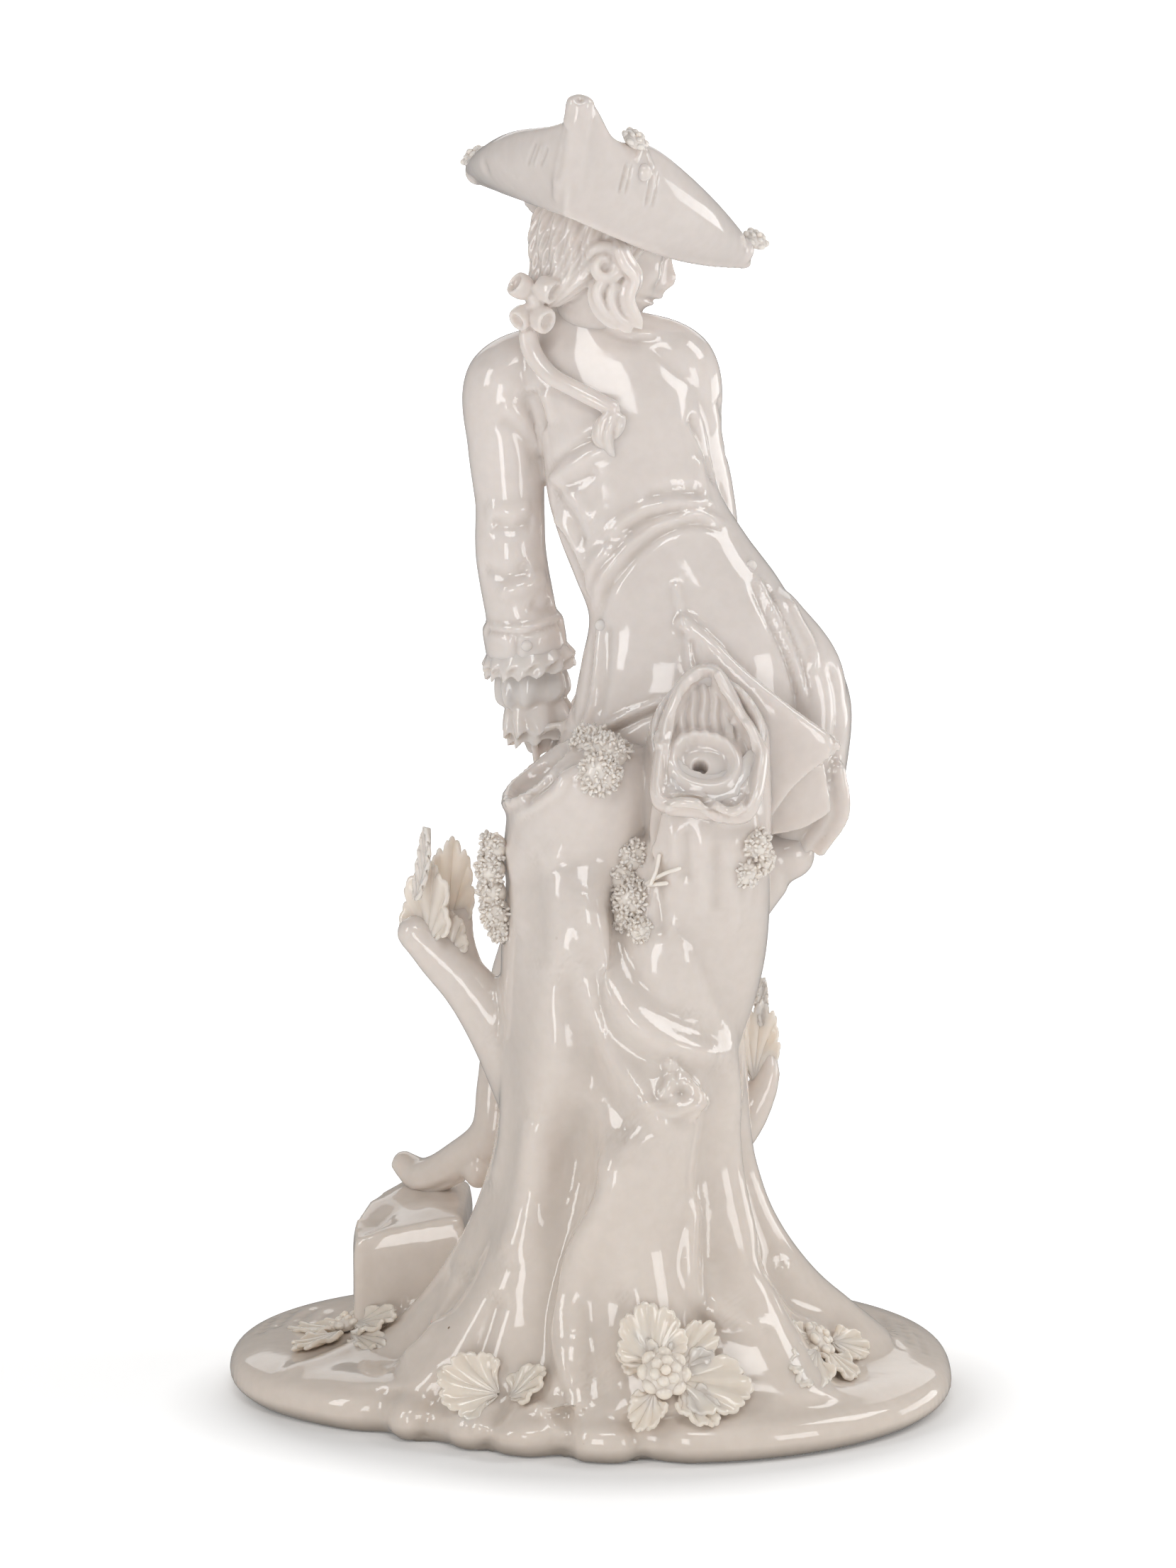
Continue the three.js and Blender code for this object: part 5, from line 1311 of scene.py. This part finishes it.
def moss(at, normal, radius, random):
    """A tuft of thin clay strands pushed through a sieve."""
    core = ball([0, 0, 0], [radius * 0.86, radius * 0.86, radius * 0.74], sides=20, rows=12)
    forms = [placed(core, at, normal)]
    shares = np.linspace(0, 1, 4)
    for _ in range(int(STRANDS_PER_SQUARE_MM * radius**2)):
        polar = np.arccos(1 - random.random() * 1.05)
        turn = random.random() * 2 * np.pi
        out = np.array([np.sin(polar) * np.cos(turn), np.sin(polar) * np.sin(turn), 0.85 * np.cos(polar)])
        sway = unit(np.cross(out, random.normal(size=3)))
        reach = radius * (0.98 + 0.16 * random.random())
        length = reach * 0.34
        start = out * (reach - length)
        points = [start, start + out * length * 0.5 + sway * 0.2, start + out * length * 0.8 + sway * 0.5,
                  start + out * length + sway * (0.6 + 0.5 * random.random())]
        size = (STRAND_RADIUS + 0.08 * random.random()) * np.array([1.0, 1.0, 1.05, 0.8])
        form = closed(tube(np.array(points), shares, size, size, across=(0.3, 0.9, 0.2), sides=4))
        forms.append(placed(form, at, normal))
    return together(forms)


def frill(points, rows, wave, count, thickness=0.7):
    """A wavy band of lace round an arm. Rows are [joint number, half width, half depth, wave]."""
    rows = np.array(rows, float)
    a = angles(180)
    centre, tangent = along(points, rows[:, 0] / (len(points) - 1))
    side, other = frames(tangent, (1, 0, 0))
    grid = []
    for k, (_, half_width, half_depth, share) in enumerate(rows):
        swing = wave * share * cosd(a * count + 70 * sind(2 * a + 30 * k)) * (0.8 + 0.3 * sind(3 * a))
        lift = 0.7 * wave * share * sind(a * count + 50 * cosd(2 * a))
        grid.append(centre[k] + side[k] * ((half_width + swing) * cosd(a))[:, None]
                    + other[k] * ((half_depth + swing) * sind(a))[:, None] + tangent[k] * lift[:, None])
    outer = smooth_rows(np.array(grid), 14)
    middle = outer.mean(1, keepdims=True)
    out = outer - middle
    inner = middle + out * (1 - thickness / np.linalg.norm(out, axis=-1, keepdims=True))
    loop = np.concatenate([outer, inner[::-1]])
    return loop.reshape(-1, 3), quads(*loop.shape[:2], True, True).tolist()


# Glaze


def node_maker(tree):
    """A function that adds a node with its settings, and gives each input a value or a link."""
    def add(kind, inputs=None, **settings):
        node = tree.nodes.new("ShaderNode" + kind)
        for name, value in settings.items():
            setattr(node, name, value)
        for socket, value in (inputs or {}).items():
            if isinstance(value, bpy.types.NodeSocket):
                tree.links.new(value, node.inputs[socket])
            else:
                node.inputs[socket].default_value = value
        return node
    return add


# Noise scales are per metre, and heights and depths are in metres
CLOUD_SCALE = 38
GRAIN_SCALE = 420
SPECK_SCALE = 150
RARE_SCALE = 60
SHINE_SCALE = 55
RIPPLE_SCALE = 190
RIPPLE_HEIGHT = 0.0006
PIT_DEPTH = 0.0002
GLOW_DEPTH = 0.003
GLAZE_IOR = 1.52

PLAIN = (1, 1, 1, 1)
BLACK = (0, 0, 0, 1)
GRAIN_TONE = (0.94, 0.935, 0.925, 1)
# Darker tone of hollows: partly glaze pooled in them, partly painted crease shade
HOLLOW_POOL_AND_SHADE_TONE = (0.80, 0.765, 0.72, 1)
SPECK_BROWN = (0.30, 0.22, 0.15, 1)
# Painted shade: the glaze is darker low down, with a dark painted contact shadow along the lowest few
# millimetres. Heights are shares of this one, in metres.
SHADE_TONE_HEIGHT = 0.19
HEIGHT_SHADE_TONES = [
    (0.0, (0.34, 0.315, 0.28, 1)),
    (0.007, (0.62, 0.585, 0.53, 1)),
    (0.02, (0.97, 0.94, 0.885, 1)),
    (0.5, (0.95, 0.94, 0.92, 1)),
    (0.8, PLAIN),
]


def glaze(name, roughness, speck_share, tone, pooling_and_shade):
    """Glazed porcelain: warm white with faint clouds, pinholes and a few iron specks."""
    material = bpy.data.materials.new(name)
    material.use_nodes = True
    material.node_tree.nodes.clear()
    add = node_maker(material.node_tree)
    place = add("TexCoord").outputs["Object"]

    def noise(scale, detail):
        return add("TexNoise", {"Vector": place, "Scale": scale, "Detail": detail}).outputs["Fac"]

    def ramp(source, stops):
        node = add("ValToRGB", {"Fac": source})
        elements = node.color_ramp.elements
        elements[0].position, elements[0].color = stops[0]
        elements[1].position, elements[1].color = stops[1]
        for position, colour in stops[2:]:
            elements.new(position).color = colour
        return node.outputs["Color"]

    def mix(factor, first, second, kind="MIX"):
        return add("Mix", {0: factor, 6: first, 7: second}, data_type="RGBA", blend_type=kind).outputs[2]

    light, dark = tone
    clouds = ramp(noise(CLOUD_SCALE, 3), [(0.3, dark), (0.7, light)])
    fine = ramp(noise(GRAIN_SCALE, 2), [(0.35, GRAIN_TONE), (0.65, PLAIN)])
    body_colour = mix(0.5, clouds, fine, "MULTIPLY")
    # Hollows, found by pointiness, darken: partly glaze pooled there, partly painted crease shade
    hollow = ramp(add("NewGeometry").outputs["Pointiness"], [(0.44, HOLLOW_POOL_AND_SHADE_TONE), (0.51, PLAIN)])
    pooled_and_shaded = mix(pooling_and_shade, body_colour, hollow, "MULTIPLY")
    # Painted shade: darker low down, with a painted contact shadow at the foot
    height = add("SeparateXYZ", {"Vector": place}).outputs["Z"]
    rising = add("MapRange", {"From Max": SHADE_TONE_HEIGHT, "Value": height}).outputs["Result"]
    low = mix(1.0, pooled_and_shaded, ramp(rising, HEIGHT_SHADE_TONES), "MULTIPLY")
    spots = add("TexVoronoi", {"Scale": SPECK_SCALE, "Vector": place}).outputs["Distance"]
    dots = ramp(spots, [(0.035, PLAIN), (0.055, BLACK)])
    rare = ramp(noise(RARE_SCALE, 0), [(speck_share, BLACK), (speck_share + 0.03, PLAIN)])
    speck = mix(1.0, dots, rare, "MULTIPLY")
    shine = add("MapRange", {
        "From Min": 0.3,
        "From Max": 0.7,
        "To Min": roughness * 0.75,
        "To Max": roughness * 1.35,
        "Value": noise(SHINE_SCALE, 2),
    })
    ripple = add("Bump", {"Strength": 0.12, "Distance": RIPPLE_HEIGHT, "Height": noise(RIPPLE_SCALE, 2)})
    pits = add("Bump", {
        "Strength": 0.5,
        "Distance": PIT_DEPTH,
        "Height": speck,
        "Normal": ripple.outputs["Normal"],
    }, invert=True)
    shader = add("BsdfPrincipled", {
        "Base Color": mix(speck, low, SPECK_BROWN),
        "Roughness": shine.outputs["Result"],
        "Normal": pits.outputs["Normal"],
        "Subsurface Weight": 0.3,
        "Subsurface Radius": (1.0, 0.75, 0.55),
        "Subsurface Scale": GLOW_DEPTH,
        "IOR": GLAZE_IOR,
        "Coat Weight": 0.35,
        "Coat Roughness": 0.04,
    })
    add("OutputMaterial", {"Surface": shader.outputs["BSDF"]})
    return material


WARM_WHITE = ((0.795, 0.733, 0.695, 1), (0.75, 0.685, 0.645, 1))
# Painted light: the leaves' glaze is a lighter copy of the warm white
LEAF_LIT_WHITE = ((0.87, 0.795, 0.735, 1), (0.82, 0.745, 0.68, 1))
# Painted light: the flower heads' glaze is a lighter copy, offsetting the shade between the petals
DRY_LIT_WHITE = ((0.98, 0.885, 0.80, 1), (0.94, 0.84, 0.75, 1))
# Painted shade: the hat's glaze is a darker copy of the warm white
HAT_SHADED_WHITE = ((0.75, 0.692, 0.657, 1), (0.706, 0.648, 0.613, 1))
# Painted light: the moss's glaze is a lighter copy, offsetting the shade between its strands
MOSS_LIT_WHITE = ((0.99, 0.905, 0.825, 1), (0.95, 0.86, 0.775, 1))
shiny = glaze("porcelain_glaze", 0.085, 0.72, WARM_WHITE, 0.75)
shaded = glaze("porcelain_hat_shaded_glaze", 0.09, 0.72, HAT_SHADED_WHITE, 0.75)
mossy = glaze("porcelain_moss_lit_glaze", 0.3, 0.74, MOSS_LIT_WHITE, 0.0)
thin = glaze("porcelain_thin_lit_glaze", 0.24, 0.74, DRY_LIT_WHITE, 0.0)
leafy = glaze("porcelain_leaf_lit_glaze", 0.14, 0.74, LEAF_LIT_WHITE, 0.4)


def finish_piece(thing, material):
    thing.data.materials.clear()
    thing.data.materials.append(material)
    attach(thing, "root")
    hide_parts("porcelain_figure")


trunk_and_mound = trunk()
finish_piece(trunk_and_mound, shiny)
finish_piece(stump_cut(), shiny)
figure_body = body()
finish_piece(figure_body, shiny)
finish_piece(head(), shiny)
hat_piece = hat()
finish_piece(hat_piece, shaded)

random = np.random.default_rng(7)
wood = tree_of(trunk_and_mound)


def seen_on_wood(pixel, spread=14):
    """The place on the trunk or the mound under a pixel of the photograph, and the normal there."""
    x, y = pixel
    ring = cast(wood, photo_rays([(x - spread, y), (x + spread, y), (x, y + spread), (x, y - spread)]))
    place = cast(wood, photo_rays([pixel]))[0]
    if len(ring) < 4:
        return place, np.array([0.0, -0.9, 0.4])
    return place, unit(np.cross(ring[1] - ring[0], ring[3] - ring[2]))


def laid_leaf(stem, tip, width, curl=1.4, lobes=5):
    """A broad leaf laid on the wood between two pixels of the photograph."""
    start, normal = seen_on_wood(stem)
    end, normal_there = seen_on_wood(tip)
    lean = unit(normal + normal_there)
    return fan_leaf(start + lean * 0.3, end + lean * 0.3, lean, width, curl, lobes)


# Tufts: place, normal and radius, or pixel and radius
EDGE_MOSS = [
    [[-18.8, -12, 116.4], [-0.8, -0.6, 0], 3.4],
    [[-19.2, -12.4, 112], [-0.8, -0.6, 0], 3.5],
    [[-19, -12, 107.2], [-0.8, -0.6, 0], 3.4],
    [[-18.2, -12.6, 103], [-0.8, -0.6, 0], 3.6],
    [[-17.4, -13, 99.6], [-0.8, -0.6, 0], 2.6],
]
SEEN_MOSS = [
    [(836, 1050), 4.2], [(858, 1064), 4.6], [(846, 1092), 4.3], [(894, 1208), 3.4], [(880, 1240), 3.4],
    [(892, 1268), 4.2], [(884, 1292), 3.2], [(904, 1312), 2.6], [(1066, 1190), 3.2], [(1074, 1212), 3.0],
    [(1054, 1232), 2.8],
]
tufts = [moss(at, normal, radius, random) for at, normal, radius in EDGE_MOSS]
tufts += [moss(*seen_on_wood(pixel), radius, random) for pixel, radius in SEEN_MOSS]
TWIGS = [
    [(912, 1246), (934, 1232), (958, 1222)],
    [(930, 1206), (926, 1226), (918, 1244)],
    [(914, 1248), (940, 1244)],
]
for twig in TWIGS:
    places = [seen_on_wood(pixel)[0] + [0, -0.5 - 0.7 * k, 0] for k, pixel in enumerate(twig)]
    tufts.append(bar([list(place) + [0.42] for place in places], sides=8, rows=16))
finish_piece(add_mesh("moss", together(tufts)), mossy)

# Stem, tip, normal, width, curl and number of lobes
BROAD_TREE_LEAVES = [
    [[-31.6, -5.4, 94.6], [-35.4, -7.4, 111.4], [-0.72, -0.7, 0.1], 15, 2.4, 5],
    [[-28.4, 0.6, 96], [-28, 6, 115], [0.15, -0.97, 0.1], 10.5, 1.6, 5],
    [[-27.8, -5, 91.6], [-29.6, -8, 101.4], [-0.25, -0.95, 0.2], 9, 1.2, 5],
    [[33.4, 3.6, 64.4], [35.4, 3.4, 81.4], [0.35, -0.92, 0], 10, 2, 5],
]
NARROW_TREE_LEAVES = [
    [[-33.4, -6.6, 104.5], [-33.4, -8.2, 119.4], [-0.85, -0.5, 0.1], 4.6, 0.8],
    [[34.6, 4.4, 76], [34.2, 5.4, 85.6], [0.6, -0.8, 0], 3.2, 0.6],
]
broad = [fan_leaf(*leaf) for leaf in BROAD_TREE_LEAVES]
narrow = [long_leaf(*leaf, teeth=5) for leaf in NARROW_TREE_LEAVES]
finish_piece(add_mesh("tree_leaves", together(broad + narrow)), leafy)

# Stem and tip in the photograph, and width
GROUND_LEAVES = [
    [(492, 1880), (404, 1872), 8],
    [(480, 1886), (412, 1912), 7],
    [(506, 1874), (566, 1862), 8],
    [(500, 1888), (545, 1898), 6],
    [(704, 1968), (622, 1944), 15],
    [(724, 1976), (776, 1934), 9],
    [(926, 1930), (908, 1836), 15],
    [(918, 1932), (880, 1886), 9],
    [(948, 1934), (992, 1874), 10],
    [(952, 1950), (1058, 1970), 16],
    [(958, 1966), (1012, 2014), 9],
    [(922, 1966), (896, 2026), 8],
    [(1148, 1910), (1130, 1958), 11],
    [(1160, 1908), (1200, 1950), 11],
    [(1140, 1890), (1108, 1882), 8],
    [(1170, 1896), (1226, 1902), 8],
]
SEEN_ROSETTES = [[(494, 1876), 3.8, 6], [(934, 1942), 5.4, 8], [(1146, 1896), 4.2, 6]]
finish_piece(add_mesh("ground_leaves", together([laid_leaf(*leaf) for leaf in GROUND_LEAVES])), leafy)
ROSETTES = []
for pixel, radius, petals in SEEN_ROSETTES:
    place, normal = seen_on_wood(pixel)
    ROSETTES.append([place + normal * 1.8, normal, radius, petals])
# Angle round the hat and offset from the rim of each rosette
HAT_ROSETTES = [[38, [0, 0, 1.2]], [119.9, [2.2, 0.8, -0.2]], [240, [1.2, -1, 1.8]]]
HAT_ROSETTE_RADIUS = 3
for angle, offset in HAT_ROSETTES:
    rim, _, outward, _ = hat_edge(angle)
    ROSETTES.append([rim + offset, [outward[0], outward[1], 1.2], HAT_ROSETTE_RADIUS, 6])
finish_piece(add_mesh("flower_heads", together([rosette(*spec) for spec in ROSETTES])), thin)

HAT_BUTTON = (908, 243)
COAT_BUTTONS = [(743, 911), (750, 931), (847, 882), (1060, 798)]
frills = [
    frill(LEFT_ARM, [[5.75, 7, 7, 0.1], [6.0, 8.6, 8.4, 0.5], [6.35, 9.2, 9.0, 1]], 0.7, 15),
    frill(LEFT_ARM, [[5.6, 7, 7, 0.1], [5.95, 8.9, 8.7, 0.5], [6.1, 9.6, 9.2, 1]], 0.6, 13),
    frill(LEFT_ARM, [[6.0, 5.6, 5.2, 0.1], [6.4, 7.0, 6.4, 0.6], [6.9, 7.2, 6.4, 0.8], [7.1, 5.4, 4.6, 0.1]],
          0.9, 8),
    frill(LEFT_ARM, [[6.8, 5.2, 4.6, 0.1], [7.2, 6.8, 6.0, 0.5], [7.55, 7.6, 7.0, 1]], 0.9, 9),
    frill(LEFT_ARM, [[7.0, 4.6, 4, 0.1], [7.3, 6.2, 5.6, 0.5], [7.75, 6.8, 6.2, 1]], 0.8, 8),
    frill(RIGHT_ARM, [[5.8, 6.6, 6.6, 0.1], [6.1, 8, 8, 0.5], [6.3, 8.8, 8.6, 1]], 0.5, 15),
]
finish_piece(fused("lace_frills", frills, LACE_GRAIN, 4), shiny)


def on_piece(thing, pixels):
    """Places on a piece's surface under pixels of the photograph."""
    return cast(tree_of(thing), photo_rays(pixels))


buttons = [ball(place, [1.15, 0.7, 1.15]) for place in on_piece(figure_body, COAT_BUTTONS)]
buttons += [ball(place, [1.75, 1.2, 1.75]) for place in on_piece(hat_piece, [HAT_BUTTON])]
finish_piece(add_mesh("buttons", together(buttons)), shiny)


# Floor, light and camera

# Sizes of the backdrop in millimetres
SWEEP_HALF_WIDTH = 4500.0
SWEEP_BEND_START = 3600.0
SWEEP_BEND_RADIUS = 900.0
SWEEP_HEIGHT = 4200.0
SWEEP_DROP = 0.05
# The paper glows less in front than behind, and least right under the mound's edge, a painted contact shadow.
# Its depths and the centre of the dim oval are in metres, and the oval's own reach is in shares of the mound's
# size.
FRONT_GLOW = 0.37
BACK_GLOW = 0.95
UNDER_SHADOW_GLOW = 0.25
GLOW_START = 0.1
GLOW_END = 1.6
SHADE_CENTRE = (0.006, -0.008, 0)
SHADE_START = 0.97
SHADE_END = 1.26


def backdrop():
    """A white sweep: floor, curve and wall."""
    turn = np.radians(np.linspace(0, 90, 16))
    profile = [[-SWEEP_HALF_WIDTH, 0.0], [SWEEP_BEND_START, 0.0]]
    bend = SWEEP_BEND_RADIUS * np.stack([np.sin(turn), 1 - np.cos(turn)], -1)
    profile += [[SWEEP_BEND_START + y, z] for y, z in bend]
    profile.append([SWEEP_HALF_WIDTH, SWEEP_HEIGHT])
    widths = np.linspace(-SWEEP_HALF_WIDTH, SWEEP_HALF_WIDTH, 3)
    grid = np.array([[[x, y, z - SWEEP_DROP] for x in widths] for y, z in profile])
    return grid.reshape(-1, 3), quads(*grid.shape[:2]).tolist()


def backdrop_paper():
    paper = bpy.data.materials.new("backdrop_paper")
    paper.use_nodes = True
    add = node_maker(paper.node_tree)
    place = add("TexCoord").outputs["Object"]
    depth = add("SeparateXYZ", {"Vector": place}).outputs["Y"]
    glow = add("MapRange", {
        "From Min": GLOW_START,
        "From Max": GLOW_END,
        "To Min": FRONT_GLOW,
        "To Max": BACK_GLOW,
        "Value": depth,
    })
    # Painted contact shadow: the glow dims in an oval round the mound's foot
    shifted = add("VectorMath", {0: place, 1: SHADE_CENTRE}, operation="SUBTRACT")
    mound = (1 / (BASE_HALF_WIDTH * MM), 1 / (BASE_HALF_DEPTH * MM), 0)
    oval = add("VectorMath", {0: shifted.outputs["Vector"], 1: mound}, operation="MULTIPLY")
    away = add("VectorMath", {0: oval.outputs["Vector"]}, operation="LENGTH")
    clear = add("MapRange", {
        "From Min": SHADE_START,
        "From Max": SHADE_END,
        "To Min": UNDER_SHADOW_GLOW,
        "Value": away.outputs["Value"],
    })
    level = add("Math", {0: clear.outputs["Result"], 1: glow.outputs["Result"]}, operation="MULTIPLY")
    shader = paper.node_tree.nodes["Principled BSDF"]
    shader.inputs["Base Color"].default_value = (0.93, 0.93, 0.93, 1)
    shader.inputs["Roughness"].default_value = 0.8
    shader.inputs["Emission Color"].default_value = (1, 1, 1, 1)
    paper.node_tree.links.new(level.outputs["Value"], shader.inputs["Emission Strength"])
    return paper


sweep_floor = add_mesh("backdrop", backdrop())
sweep_floor.data.materials.append(backdrop_paper())
sweep_floor.visible_glossy = False

SKY_TONE = (1.0, 0.99, 0.975, 1)
SKY_STRENGTH = 0.2
world = bpy.data.worlds.new("studio")
bpy.context.scene.world = world
world.use_nodes = True
sky = world.node_tree.nodes["Background"]
sky.inputs["Color"].default_value = SKY_TONE
sky.inputs["Strength"].default_value = SKY_STRENGTH

LIGHT_AIM = (0, 0, 0.13)


def soft_light(name, azimuth, elevation, distance, width, height, power):
    """A rectangular lamp that faces the figure. Azimuth 0 is the camera's side, and 90 its right."""
    lamp = bpy.data.lights.new(name, "AREA")
    lamp.shape = "RECTANGLE"
    lamp.size, lamp.size_y = width, height
    lamp.energy = power
    aim = Vector(LIGHT_AIM)
    level = distance * cosd(elevation)
    away = Vector((level * sind(azimuth), -level * cosd(azimuth), distance * sind(elevation)))
    thing = bpy.data.objects.new(name, lamp)
    thing.location = aim + away
    thing.rotation_euler = (-away).to_track_quat("-Z", "Y").to_euler()
    bpy.context.scene.collection.objects.link(thing)


# Name, azimuth, elevation, distance, width, height and power of each lamp
LIGHTS = [
    ["overhead_box", 2, 48, 1.5, 0.56, 0.42, 3.5],
    ["left_strip", -14, 3, 1.0, 0.22, 0.36, 1.05],
    ["right_strip", 46, 4, 1.2, 0.36, 0.4, 1.6],
    ["left_box", -56, 26, 1.4, 0.36, 0.8, 4.2],
    ["right_box", 88, 40, 1.4, 0.5, 0.7, 4.8],
    ["right_low", 112, -1, 0.8, 0.5, 0.2, 0.7],
    ["back_box", 180, 32, 1.6, 1.7, 0.95, 4.6],
]
for light in LIGHTS:
    soft_light(*light)

lens = bpy.data.cameras.new("camera")
lens.lens = CAMERA_LENS
lens.sensor_width = CAMERA_SENSOR
camera = bpy.data.objects.new("camera", lens)
camera.location = CAMERA_PLACE * MM
camera.rotation_euler = Vector(-CAMERA_BACK).to_track_quat("-Z", "Y").to_euler()
bpy.context.scene.collection.objects.link(camera)
bpy.context.scene.camera = camera
bpy.context.scene.view_settings.view_transform = "Standard"
